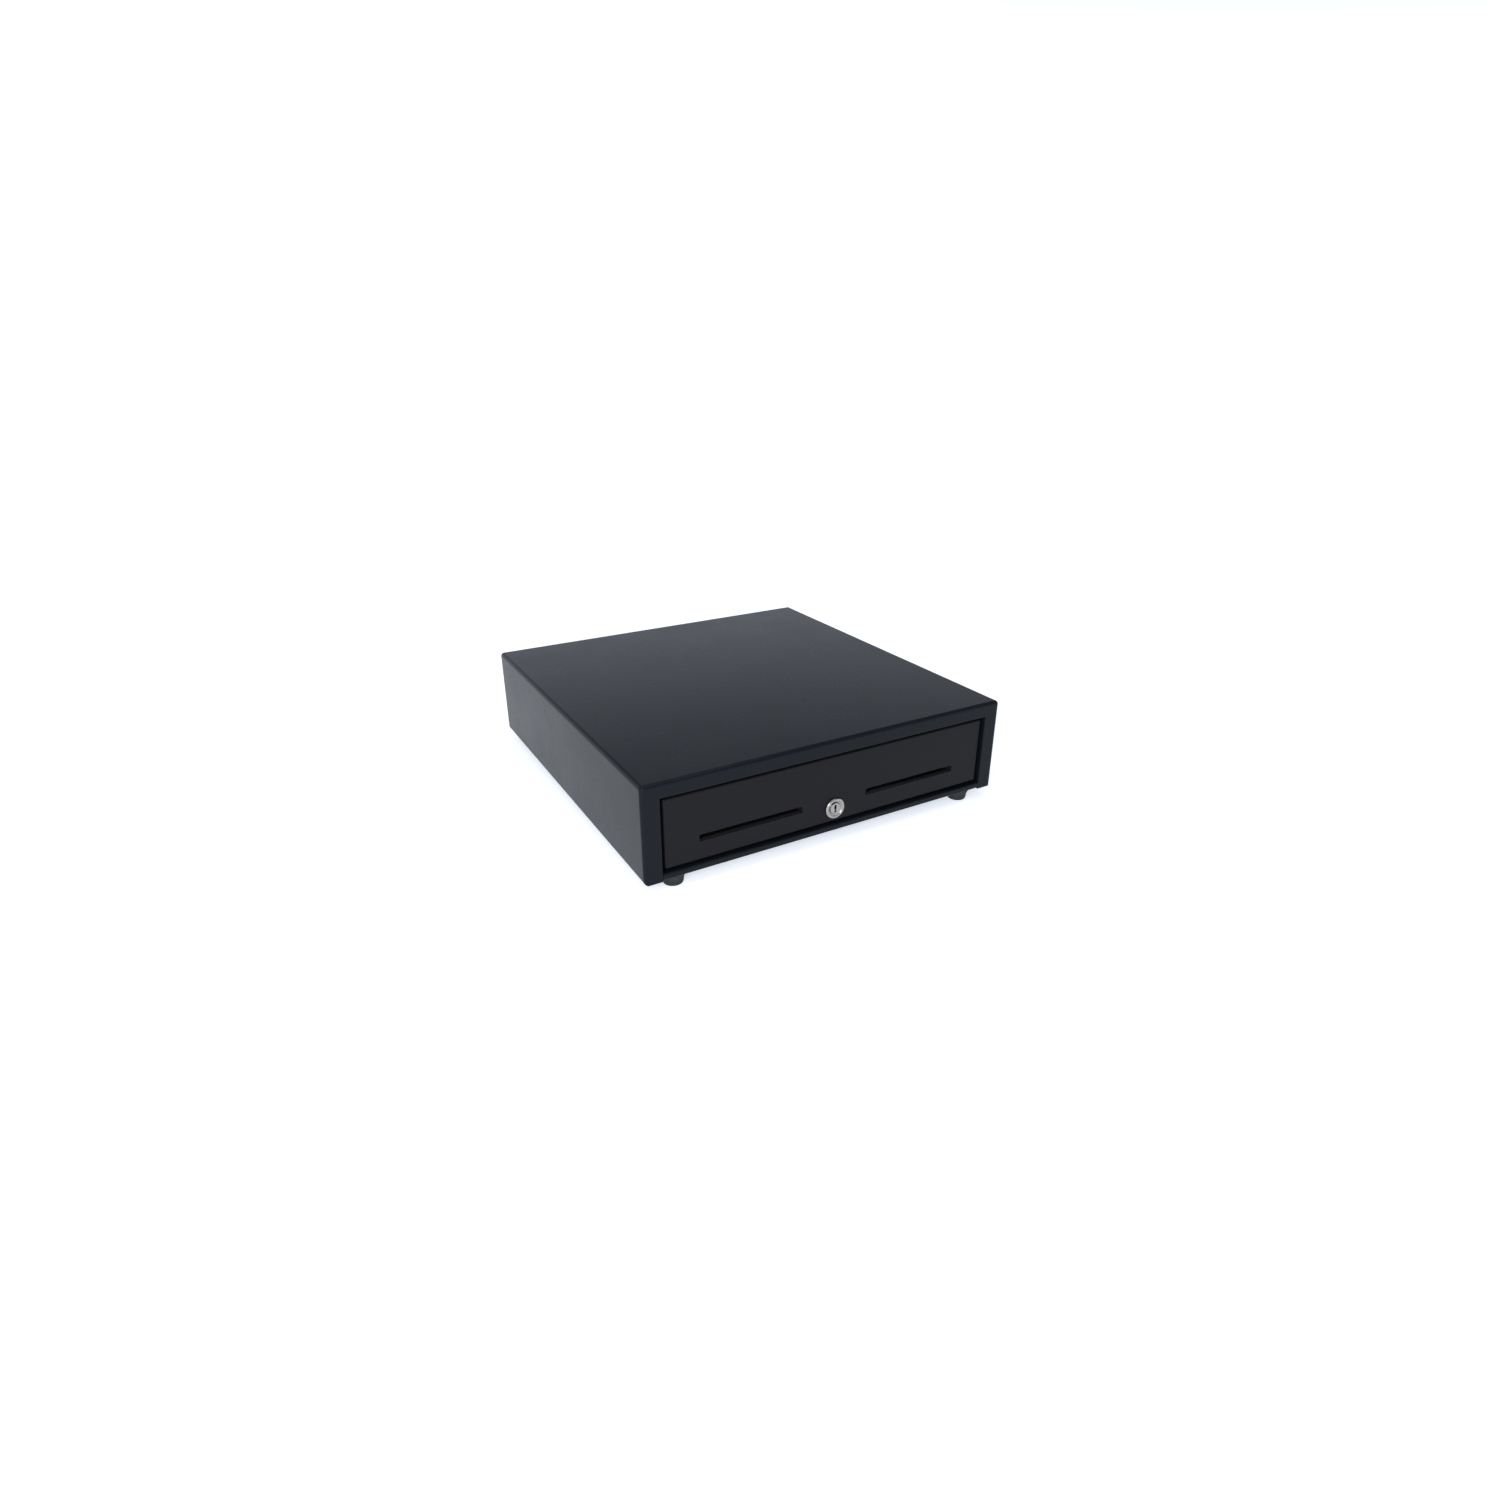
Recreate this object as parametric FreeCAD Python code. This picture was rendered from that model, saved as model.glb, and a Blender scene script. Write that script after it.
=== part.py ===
"""Point-of-sale cash drawer: a folded steel case on rubber feet, with a drawer on ball-bearing slides.

Millimetres. +Z is up, the drawer opens towards -Y, and +X is to the right of a person facing the front.
The origin is on the surface that the feet stand on, under the middle of the case.
Each function below makes one sub-part. The list at the end names the sub-parts and writes their files.
"""

import FreeCAD, Part
import math
import os

from FreeCAD import Vector

# ---------------------------------------------------------------- driving dimensions
# Case
CASE_WIDTH = 410.0
CASE_DEPTH = 415.0
CASE_HEIGHT = 99.0
SHEET = 1.0                # folded steel of the case and the tub
CASE_BEND = 4.0            # outside radius of the case's folds
POST_WIDTH = 18.0          # uprights left and right of the drawer front
TOP_RAIL = 15.0            # band above the drawer front
SILL_HEIGHT = 7.2          # band below the drawer front
BOTTOM_RETURN = 15.0       # flange that the sides turn in under the base
RETURN_DEPTH = 10.0        # how far the edges of the front opening turn inwards
FOOT_HEIGHT = 12.0         # clear height under the case
FOOT_TOP_RADIUS = 12.0
FOOT_TREAD_RADIUS = 8.8
FOOT_X = 171.0
FOOT_Y = 193.0

# Drawer
FRONT_HALF_WIDTH = 183.5
FRONT_BOTTOM = 22.3
FRONT_TOP = 92.8
FRONT_RECESS = 2.5         # drawer front's face behind the case's face
FRONT_SHEET = 1.2
FRONT_BEND = 1.8
FRONT_BACK = -181.0        # where the drawer front's box ends and the tub begins
TUB_BACK = 145.0
TUB_BOTTOM = 24.5
TUB_TOP = 88.0
TUB_REAR_TOP = 76.0
TRAVEL = 340.0             # opening travel, also stated in the record

# Openings in the drawer front
SLOT_INNER = 37.3
SLOT_OUTER = 148.6
SLOT_LOW = 41.4
SLOT_HIGH = 48.6
LOCK_Z = 37.0
LOCK_BEZEL_RADIUS = 11.0
LOCK_BARREL_RADIUS = 9.2
LOCK_PLUG_RADIUS = 6.0
LOCK_CAM_LENGTH = 21.5

# Telescopic slides, from the case inwards
SLIDE_OUT = 186.6          # face that lies on the bracket
SLIDE_IN = 174.4           # face that lies on the tub
SLIDE_SHEET = 1.2
SLIDE_FRONT = -179.0
SLIDE_LENGTH = 350.0
SLIDE_Z = 57.0
BALL_RADIUS = 2.0
BALL_GAP = 0.05
BALLS_PER_ROW = 6
CAGE_LENGTH = 150.0
CAGE_MARGIN = 15.0         # each cage stops this far inside the members' overlap when open
CAGE_SHEET = 0.8

# Till
TILL_HALF_WIDTH = 170.0
TILL_FRONT = -176.0
TILL_BACK = 128.0
TILL_BOTTOM = 49.6
TILL_TOP = 89.5
TILL_WALL = 2.0
TILL_RIM = 2.6             # rim's overhang
COIN_DEPTH = 120.0         # coin section, front to back
COLUMNS = 4
CLIP_ROD_Y = 112.0
CLIP_ROD_Z = 83.0
CLIP_ROD_RADIUS = 2.0
CLIP_REACH = 92.0          # rod to the clip's tip, front to back
CLIP_TIP_RADIUS = 4.0

# Latch at the back
HOOK_X = -12.0
HOOK_Y = 180.0
HOOK_LOW = 35.0
HOOK_THICK = 3.0
HOOK_SWING = 10.0          # degrees from released, as modelled, to engaged
STRIKER_Y = 158.0
STRIKER_RADIUS = 2.5
PLUNGER_ARM = 14.0         # hook pivot to plunger pin
SWITCH_PIVOT = Vector(-2.0, HOOK_Y, 0.0)

# Fasteners
SHANK_RADIUS = 1.95
SHANK_GAP = 0.1            # a clearance hole is this much larger in radius
HEAD_RADIUS = 3.6
HEAD_HEIGHT = 1.8
RIVET_HEAD = 1.2

# ---------------------------------------------------------------- places that follow from them
HALF_W = CASE_WIDTH / 2
FRONT = -CASE_DEPTH / 2
BACK = CASE_DEPTH / 2
LOW = FOOT_HEIGHT
HIGH = FOOT_HEIGHT + CASE_HEIGHT
OPEN_HALF = HALF_W - POST_WIDTH
OPEN_TOP = HIGH - TOP_RAIL
PAN_LOW = LOW + SHEET
PAN_HIGH = PAN_LOW + SHEET
SILL_TOP = LOW + SILL_HEIGHT
FACE_Y = FRONT + FRONT_RECESS
PANEL_OUT = BACK - 1.1     # back panel's outside face
TUB_HALF = SLIDE_IN
CAGE_FRONT = SLIDE_FRONT + TRAVEL / 4 + CAGE_MARGIN
COLUMN_WIDTH = 2 * (TILL_HALF_WIDTH - TILL_WALL) / COLUMNS
TILL_FLOOR = TILL_BOTTOM + TILL_WALL
COIN_BACK = TILL_FRONT + TILL_WALL + COIN_DEPTH
BILL_FRONT = COIN_BACK + TILL_WALL
BILL_BACK = TILL_BACK - TILL_WALL
COLUMN_MIDDLES = [(i - (COLUMNS - 1) / 2) * COLUMN_WIDTH for i in range(COLUMNS)]
DIVIDER_XS = [(i - COLUMNS / 2) * COLUMN_WIDTH for i in range(1, COLUMNS)]
HOOK_HIGH = HOOK_LOW + HOOK_THICK
HOOK_MIDDLE = HOOK_LOW + HOOK_THICK / 2
X, Y, Z = Vector(1, 0, 0), Vector(0, 1, 0), Vector(0, 0, 1)


# ---------------------------------------------------------------- helpers
def box(x0, x1, y0, y1, z0, z1):
    """A box from its three spans."""
    return Part.makeBox(x1 - x0, y1 - y0, z1 - z0, Vector(x0, y0, z0))


def rod(radius, start, along, length):
    """A cylinder from a point along a direction."""
    return Part.makeCylinder(radius, length, start, along)


def wire_of(edges):
    """One closed or open wire from edges in any order."""
    return Part.Wire(Part.sortEdges(edges)[0])


def prism(points, along):
    """A flat outline of straight sides, pushed along a vector."""
    face = Part.Face(Part.makePolygon(points + points[:1]))
    return face.extrude(along)


def rounded(shape, radius, chosen):
    """The shape with a fillet on each straight edge whose middle and direction pass the test."""
    edges = []
    for edge in shape.Edges:
        ends = [vertex.Point for vertex in edge.Vertexes]
        if len(ends) != 2 or not near(ends[0].distanceToPoint(ends[1]), edge.Length):
            continue
        middle = (ends[0] + ends[1]) * 0.5
        direction = (ends[1] - ends[0]).normalize()
        if chosen(middle, direction):
            edges.append(edge)
    return shape.makeFillet(radius, edges)


def near(a, b):
    return abs(a - b) < 0.01


def left_of(start, end):
    """Unit vector to the left of a line in its plane."""
    heading = (end - start).normalize()
    return Vector(-heading.y, heading.x, 0)


def bend_marks(before, here, after, offset, thickness, bend):
    """Start, middle and end of one bend's arc, on the face of the sheet at this offset from the line."""
    coming = (here - before).normalize()
    going = (after - here).normalize()
    lefts = left_of(before, here) + left_of(here, after)
    corner = here + lefts * (offset / (1 + coming.dot(going)))
    turn = 1 if coming.cross(going).z > 0 else -1
    inside = (turn > 0) == (offset > 0)
    radius = bend if inside else bend + thickness
    cut = radius * math.tan(coming.getAngle(going) / 2)
    start, end = corner - coming * cut, corner + going * cut
    centre = start + left_of(before, here) * (radius * turn)
    middle = centre + (corner - centre).normalize() * radius
    return [start, middle, end]


def folded(points, thickness, bend, place, along):
    """Sheet metal folded along a line of (a, b) points. The sheet lies on the left of the line.

    bend is the inside radius. place turns (a, b) into a point, and along is the extrusion.
    """
    line = [Vector(a, b, 0) for a, b in points]
    edges, tips = [], []
    for offset in (0, thickness):
        marks = [[line[0] + left_of(line[0], line[1]) * offset]]
        for before, here, after in zip(line, line[1:], line[2:]):
            marks.append(bend_marks(before, here, after, offset, thickness, bend))
        marks.append([line[-1] + left_of(line[-2], line[-1]) * offset])
        placed = [[place(p.x, p.y) for p in mark] for mark in marks]
        edges += [Part.makeLine(a[-1], b[0]) for a, b in zip(placed, placed[1:])]
        edges += [Part.Arc(*mark).toShape() for mark in placed[1:-1]]
        tips.append((placed[0][0], placed[-1][0]))
    edges += [Part.makeLine(a, b) for a, b in zip(*tips)]
    return Part.Face(wire_of(edges)).extrude(along)


def xz(y):
    """Places (x, z) points at a depth y."""
    return lambda a, b: Vector(a, y, b)


def mirrored(shape):
    """The same piece for the other side."""
    return shape.mirror(Vector(0, 0, 0), X)


def less(shape, cutters):
    return shape.cut(Part.makeCompound(cutters)) if cutters else shape


def joined(shapes):
    return shapes[0].multiFuse(shapes[1:]).removeSplitter()


def screw(point, along, length, head_radius=HEAD_RADIUS, shank_radius=SHANK_RADIUS):
    """A pan-head screw. The point is under its head and the shank runs along the direction."""
    drive = rod(head_radius * 0.35, point - along * HEAD_HEIGHT, along, HEAD_HEIGHT * 0.6)
    head = rod(head_radius, point - along * HEAD_HEIGHT, along, HEAD_HEIGHT)
    return head.fuse(rod(shank_radius, point, along, length)).removeSplitter().cut(drive)


def hole(point, along, length=6.0, radius=SHANK_RADIUS + SHANK_GAP):
    """The cutter for a screw's clearance hole, centred on the point."""
    return rod(radius, point - along * (length / 2), along, length)


def scalloped_tube(centre, along, across, mean_radius, wire_radius, turns):
    """A close-wound spring: a tube with one rounded rib for each turn of its wire."""
    step = 2 * wire_radius
    start = centre - along * (step * turns / 2)
    inner = mean_radius - wire_radius * 0.6
    edges = []
    for i in range(turns):
        a = start + along * (step * i) + across * mean_radius
        b = a + along * step
        top = (a + b) * 0.5 + across * wire_radius
        edges.append(Part.Arc(a, top, b).toShape())
    low_start = start + across * inner
    low_end = start + along * (step * turns) + across * inner
    edges.append(Part.makeLine(start + across * mean_radius, low_start))
    edges.append(Part.makeLine(low_start, low_end))
    edges.append(Part.makeLine(low_end, low_end + across * (mean_radius - inner)))
    face = Part.Face(wire_of(edges))
    return face.revolve(centre, along, 360)


# ---------------------------------------------------------------- case
SILL_HEM = 8.5             # how far the sill's edges turn back
PAN_FLANGE_TOP = 34.0
BRACKET_TOP = 82.0
BRACKET_SHEET = 1.2
VENTS = 9
VENT_PITCH = 12.0
VENT_WIDTH = 4.0
FIRST_VENT_X = 60.0
VENT_LOW = 60.0
VENT_HIGH = 84.0
BASE_SCREW_X = 195.0
BASE_SCREW_YS = (-160.0, -55.0, 55.0, 160.0)
PANEL_SCREW_XS = (-110.0, 0.0, 110.0)
PANEL_SCREW_Y = 200.0
PANEL_FLANGE = 11.0
FOOT_PLACES = [(x, y) for x in (-FOOT_X, FOOT_X) for y in (-FOOT_Y, FOOT_Y)]
FOOT_SEAT = 5.0            # height of the screw's seat inside a foot
COUNTER_HOLE_RADIUS = 2.75
COUNTER_HOLE_X = 130.0
COUNTER_HOLE_Y = 110.0
SOCKET_X = -140.0
SOCKET_HALF_WIDTH = 7.0
SOCKET_HIGH = 30.0
SOCKET_FRONT = 191.0


def base_screw_points():
    sides = [Vector(x, y, LOW) for x in (-BASE_SCREW_X, BASE_SCREW_X) for y in BASE_SCREW_YS]
    rear = [Vector(x, PANEL_SCREW_Y, PAN_LOW) for x in PANEL_SCREW_XS]
    return sides + rear


def case_cover():
    """Top, sides, posts and top rail folded from one sheet, with the sides turned in under the base."""
    def outer_fold(p, d):
        along_y = abs(d.y) > 0.9
        front_edge = near(p.y, FRONT) and not near(p.z, LOW)
        return along_y or front_edge

    def inner_fold(p, d):
        along_y = abs(d.y) > 0.9
        front_edge = near(p.y, FRONT + SHEET) and not near(p.z, PAN_LOW)
        return along_y or front_edge

    outer = box(-HALF_W, HALF_W, FRONT, BACK, LOW, HIGH)
    outer = rounded(outer, CASE_BEND, outer_fold)
    inside = HALF_W - SHEET
    inner = box(-inside, inside, FRONT + SHEET, BACK + CASE_BEND, PAN_LOW, HIGH - SHEET)
    inner = rounded(inner, CASE_BEND - SHEET, inner_fold)
    shell = outer.cut(inner)

    under = HALF_W - BOTTOM_RETURN
    bottom_opening = box(-under, under, FRONT + 2 * SHEET, BACK + 1, LOW - 1, PAN_HIGH)
    front_opening = box(-OPEN_HALF, OPEN_HALF, FRONT - 1, FRONT + 3 * SHEET, LOW - 1, OPEN_TOP)
    rear_end = FRONT + RETURN_DEPTH
    sides = [box(OPEN_HALF, OPEN_HALF + SHEET, FRONT, rear_end, PAN_HIGH, OPEN_TOP + SHEET)]
    sides.append(mirrored(sides[0]))
    lintel = box(-OPEN_HALF - SHEET, OPEN_HALF + SHEET, FRONT, rear_end, OPEN_TOP, OPEN_TOP + SHEET)
    shell = less(shell, [bottom_opening, front_opening])
    shell = joined([shell, lintel] + sides)

    def mouth(p, d):
        upright = near(abs(p.x), OPEN_HALF) and abs(d.z) > 0.9
        level = near(p.z, OPEN_TOP) and abs(d.x) > 0.9
        return near(p.y, FRONT) and (upright or level)

    shell = rounded(shell, SHEET * 0.8, mouth)
    return less(shell, [hole(p, Z) for p in base_screw_points()])


def base_pan():
    """Floor of the case: a front sill with a hem, and flanges up inside the sides."""
    wide = HALF_W - CASE_BEND - 0.1
    sill_half = OPEN_HALF - 0.2
    floor = box(-wide, wide, FRONT + SHEET + 0.1, PANEL_OUT, PAN_LOW, PAN_HIGH)
    tongue = box(-sill_half, sill_half, FRONT + SHEET, FRONT + 3 * SHEET, PAN_LOW, PAN_HIGH)
    hem = FRONT + SILL_HEM
    profile = [(hem, SILL_TOP), (FRONT, SILL_TOP), (FRONT, PAN_LOW), (hem, PAN_LOW)]
    sill = folded(profile, SHEET, 0.6, lambda a, b: Vector(-sill_half, a, b), X * (2 * sill_half))
    flange = box(wide - SHEET, wide, FRONT + SILL_HEM, BACK - 20, PAN_HIGH, PAN_FLANGE_TOP)
    pan = joined([floor, tongue, sill, flange, mirrored(flange)])
    cuts = [hole(p, Z) for p in base_screw_points()]
    cuts += [hole(Vector(x, y, PAN_HIGH), Z) for x, y in FOOT_PLACES]
    cuts += [hole(p, Z) for p in latch_screw_points()]
    corners = [(sx * COUNTER_HOLE_X, sy * COUNTER_HOLE_Y) for sx in (-1, 1) for sy in (-1, 1)]
    cuts += [hole(Vector(x, y, PAN_HIGH), Z, radius=COUNTER_HOLE_RADIUS) for x, y in corners]
    cuts.append(release_slot())
    return less(pan, cuts)


def release_slot():
    """Cutter for the slot that lets a tool reach the latch hook from below."""
    return box(HOOK_X - 12, HOOK_X - 2, HOOK_Y + 6, HOOK_Y + 16, LOW, PAN_HIGH + 3)


def back_panel():
    """Rear wall with a flange all round, a cut-out for the cable socket and a row of vents."""
    wide = HALF_W - SHEET - 0.2
    low, high = PAN_HIGH, HIGH - SHEET - 0.1
    flange_front = PANEL_OUT - PANEL_FLANGE
    outer = box(-wide, wide, flange_front, PANEL_OUT, low, high)
    outer = rounded(outer, CASE_BEND - SHEET + 0.1, lambda p, d: abs(d.y) > 0.9)
    inner = box(-wide + SHEET, wide - SHEET, flange_front - 1, PANEL_OUT - SHEET, low + SHEET, high - SHEET)
    panel = outer.cut(inner)
    window = box(SOCKET_X - SOCKET_HALF_WIDTH, SOCKET_X + SOCKET_HALF_WIDTH,
                 flange_front - 1, PANEL_OUT + 1, low - 1, SOCKET_HIGH)
    cuts = [window]
    cuts += [hole(Vector(x, PANEL_SCREW_Y, PAN_HIGH), Z) for x in PANEL_SCREW_XS]
    for i in range(VENTS):
        left = FIRST_VENT_X + i * VENT_PITCH
        vent = box(left, left + VENT_WIDTH, PANEL_OUT - 3, PANEL_OUT + 1, VENT_LOW, VENT_HIGH)
        cuts.append(rounded(vent, VENT_WIDTH / 2 - 0.1, lambda p, d: abs(d.y) > 0.9))
    return less(panel, cuts)


def foot(x, y):
    """A tapered rubber foot with a counterbore for its screw."""
    tread_round = 1.5
    low = FOOT_TREAD_RADIUS
    profile = [Vector(0, 0, 0), Vector(low - tread_round, 0, 0)]
    inset = tread_round * (1 - math.cos(math.pi / 4))
    arc_mid = Vector(low - inset, 0, inset)
    arc_end = Vector(low, 0, tread_round)
    edges = [Part.makeLine(*profile), Part.Arc(profile[1], arc_mid, arc_end).toShape()]
    corners = [arc_end, Vector(FOOT_TOP_RADIUS, 0, PAN_LOW - 3), Vector(FOOT_TOP_RADIUS, 0, PAN_LOW)]
    corners += [Vector(0, 0, PAN_LOW), profile[0]]
    edges += [Part.makeLine(a, b) for a, b in zip(corners, corners[1:])]
    body = Part.Face(wire_of(edges)).revolve(Vector(0, 0, 0), Z, 360)
    counterbore = rod(HEAD_RADIUS + 0.6, Vector(0, 0, -1), Z, FOOT_SEAT + 1)
    body = body.cut(counterbore).cut(hole(Vector(0, 0, FOOT_SEAT), Z, 20))
    return body.translated(Vector(x, y, 0))


def foot_screw(x, y):
    return screw(Vector(x, y, FOOT_SEAT), Z, FOOT_HEIGHT)


def slide_bracket():
    """Channel on the base pan that holds the right-hand slide away from the case's side."""
    flange = HALF_W - CASE_BEND - 2.0
    points = [(flange, BRACKET_TOP), (SLIDE_OUT, BRACKET_TOP), (SLIDE_OUT, PAN_HIGH), (flange, PAN_HIGH)]
    bracket = folded(points, BRACKET_SHEET, 0.8, xz(SLIDE_FRONT), Y * SLIDE_LENGTH)
    cuts = [hole(Vector(BASE_SCREW_X, y, PAN_HIGH), Z) for y in BASE_SCREW_YS]
    cuts += [hole(Vector(SLIDE_OUT, y, SLIDE_Z), X) for y in slide_screw_ys()]
    windows = [box(SLIDE_OUT - 1, SLIDE_OUT + 3, y - 25, y + 25, 22, 32) for y in (-100, 0, 100)]
    return less(bracket, cuts + windows)


def cable_socket():
    """Six-way modular socket, open to the back, for the lead from a printer or terminal."""
    left, right = SOCKET_X - SOCKET_HALF_WIDTH + 0.2, SOCKET_X + SOCKET_HALF_WIDTH - 0.2
    body = box(left, right, SOCKET_FRONT, PANEL_OUT + 0.6, PAN_HIGH, SOCKET_HIGH - 0.2)
    cavity = box(SOCKET_X - 5, SOCKET_X + 5, SOCKET_FRONT + 3, BACK, PAN_HIGH + 3, SOCKET_HIGH - 5)
    latch_way = box(SOCKET_X - 2.2, SOCKET_X + 2.2, SOCKET_FRONT + 6, BACK, SOCKET_HIGH - 6, SOCKET_HIGH - 2)
    return less(body, [cavity, latch_way])


# ---------------------------------------------------------------- slides
CAGE_OUT_X = 185.0         # web of the cage between the outer and middle members
MIDDLE_OUT = 183.8
CAGE_IN_X = 182.1
OUTER_TIP = 176.8
MIDDLE_TIP = 175.8
INNER_TIP = 181.2
OUTER_RISE = 21.0          # half height of the outer member
BALL_OUTER_X = 180.6
BALL_INNER_X = 179.2
MIDDLE_RISE = OUTER_RISE - SLIDE_SHEET - 2 * (BALL_RADIUS + BALL_GAP)
INNER_RISE = MIDDLE_RISE - SLIDE_SHEET - 2 * (BALL_RADIUS + BALL_GAP)
BALL_OUTER_RISE = OUTER_RISE - SLIDE_SHEET - BALL_RADIUS - BALL_GAP
BALL_INNER_RISE = MIDDLE_RISE - SLIDE_SHEET - BALL_RADIUS - BALL_GAP


def slide_screw_ys():
    return [SLIDE_FRONT + 25, SLIDE_FRONT + SLIDE_LENGTH / 2, TUB_BACK - 25]


def channel(web_x, tip_x, rise, lip, sheet):
    """A C section along Y for the right-hand side: a web, two flanges and short lips at their ends."""
    up, down = SLIDE_Z + rise, SLIDE_Z - rise
    points = [(tip_x, down), (web_x, down), (web_x, up), (tip_x, up)]
    if lip:
        points = [(tip_x, down + lip)] + points + [(tip_x, up - lip)]
    return folded(points, sheet, 0.4, xz(SLIDE_FRONT), Y * SLIDE_LENGTH)


def slide_outer():
    rail = channel(SLIDE_OUT, OUTER_TIP, OUTER_RISE, 3.0, SLIDE_SHEET)
    return less(rail, [hole(Vector(SLIDE_OUT, y, SLIDE_Z), X) for y in slide_screw_ys()])


def slide_middle():
    return channel(MIDDLE_OUT, MIDDLE_TIP, MIDDLE_RISE, 2.4, SLIDE_SHEET)


def slide_inner():
    up, down = SLIDE_Z + INNER_RISE, SLIDE_Z - INNER_RISE
    points = [(INNER_TIP, up), (SLIDE_IN, up), (SLIDE_IN, down), (INNER_TIP, down)]
    rail = folded(points, SLIDE_SHEET, 0.4, xz(SLIDE_FRONT), Y * SLIDE_LENGTH)
    return less(rail, [hole(Vector(SLIDE_IN, y, SLIDE_Z), X) for y in slide_screw_ys()])


def ball_ys():
    pitch = CAGE_LENGTH / BALLS_PER_ROW
    return [CAGE_FRONT + pitch * (i + 0.5) for i in range(BALLS_PER_ROW)]


def ball_cage(web_x, tip_x, ball_x, ball_rise):
    """The strip that keeps two rows of balls apart: the balls sit in holes in its flanges."""
    up, down = SLIDE_Z + ball_rise + CAGE_SHEET / 2, SLIDE_Z - ball_rise - CAGE_SHEET / 2
    points = [(tip_x, down), (web_x, down), (web_x, up), (tip_x, up)]
    cage = folded(points, CAGE_SHEET, 0.3, xz(CAGE_FRONT), Y * CAGE_LENGTH)
    holes = []
    for y in ball_ys():
        for z in (SLIDE_Z + ball_rise, SLIDE_Z - ball_rise):
            holes.append(hole(Vector(ball_x, y, z), Z, 3, BALL_RADIUS + SHANK_GAP))
    return less(cage, holes)


def balls(ball_x, ball_rise):
    """One cage's two rows of balls, left and right."""
    made = []
    for x in (-ball_x, ball_x):
        for y in ball_ys():
            for z in (SLIDE_Z + ball_rise, SLIDE_Z - ball_rise):
                made.append(Part.makeSphere(BALL_RADIUS, Vector(x, y, z)))
    return made


def case_rivets():
    """Rivets that hold the outer members on their brackets."""
    made = []
    for y in slide_screw_ys():
        start = Vector(SLIDE_OUT - SLIDE_SHEET, y, SLIDE_Z)
        head = rod(HEAD_RADIUS, Vector(SLIDE_OUT + BRACKET_SHEET, y, SLIDE_Z), X, RIVET_HEAD)
        shank = rod(SHANK_RADIUS, start, X, SLIDE_SHEET + BRACKET_SHEET + RIVET_HEAD / 2)
        rivet = shank.fuse(head).removeSplitter()
        made += [rivet, mirrored(rivet)]
    return made


def tub_rivets():
    """Rivets that hold the inner members on the tub's sides."""
    made = []
    for y in slide_screw_ys():
        start = Vector(SLIDE_IN - SHEET - RIVET_HEAD, y, SLIDE_Z)
        head = rod(HEAD_RADIUS, start, X, RIVET_HEAD)
        rivet = rod(SHANK_RADIUS, start, X, RIVET_HEAD + SHEET + SLIDE_SHEET).fuse(head).removeSplitter()
        made += [rivet, mirrored(rivet)]
    return made


# ---------------------------------------------------------------- drawer
FRONT_SCREWS = [(x, z) for x in (-168.5, 168.5) for z in (38.0, 78.0)]
FRONT_LIP = 162.0          # the lips behind the drawer front start this far from the middle
SAFE_EDGE = 6.0            # tub side's top edge turns out this far
GUIDE_MARGIN = 3.0
GUIDE_TOP_REAR = 47.0
GUIDE_LOW_REAR = 38.0
GUIDE_WALL = 1.5
GUIDE_BACK = -177.5


def slot_cutter(x0, x1):
    """A long opening through the drawer front with rounded corners."""
    cutter = box(x0, x1, FACE_Y - 1, FACE_Y + 2 * FRONT_SHEET, SLOT_LOW, SLOT_HIGH)
    return rounded(cutter, 1.2, lambda p, d: abs(d.y) > 0.9)


def drawer_front():
    """Shallow steel box that closes the case, with two slots for slips and a hole for the lock."""
    outer = box(-FRONT_HALF_WIDTH, FRONT_HALF_WIDTH, FACE_Y, FRONT_BACK, FRONT_BOTTOM, FRONT_TOP)
    outer = rounded(outer, FRONT_BEND, lambda p, d: abs(d.y) > 0.9 or near(p.y, FACE_Y))
    half = FRONT_HALF_WIDTH - FRONT_SHEET
    low, high = FRONT_BOTTOM + FRONT_SHEET, FRONT_TOP - FRONT_SHEET
    face_back = FACE_Y + FRONT_SHEET
    inner = box(-half, half, face_back, FRONT_BACK - FRONT_SHEET, low, high)
    inner = rounded(inner, FRONT_BEND - FRONT_SHEET, lambda p, d: abs(d.y) > 0.9 or near(p.y, face_back))
    rear = box(-FRONT_LIP, FRONT_LIP, FRONT_BACK - 2 * FRONT_SHEET, FRONT_BACK + 1, low, high)
    cam_slot = box(-8, 19, CAM_FRONT - 2, CAM_FRONT + CAM_SHEET + 2.5, FRONT_BOTTOM - 1, low + 1)
    cuts = [inner, rear, cam_slot]
    cuts += [slot_cutter(SLOT_INNER, SLOT_OUTER), slot_cutter(-SLOT_OUTER, -SLOT_INNER)]
    lock_hole = rod(LOCK_BARREL_RADIUS + SHANK_GAP, Vector(0, FACE_Y - 1, LOCK_Z), Y, 4)
    cuts.append(lock_hole.common(box(-8.1, 8.1, FACE_Y - 1, FACE_Y + 4, 0, HIGH)))
    cuts += [hole(Vector(x, FRONT_BACK, z), Y) for x, z in FRONT_SCREWS]
    return less(outer, cuts)


def guide_windows():
    """Where the two slip guides pass through the tub's front wall."""
    x0, x1 = SLOT_INNER - GUIDE_MARGIN - 0.3, SLOT_OUTER + GUIDE_MARGIN + 0.3
    window = box(x0, x1, FRONT_BACK - 1, FRONT_BACK + 2, GUIDE_LOW_REAR - GUIDE_WALL - 0.3,
                 SLOT_HIGH + GUIDE_WALL + 0.3)
    return [window, mirrored(window)]


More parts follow.
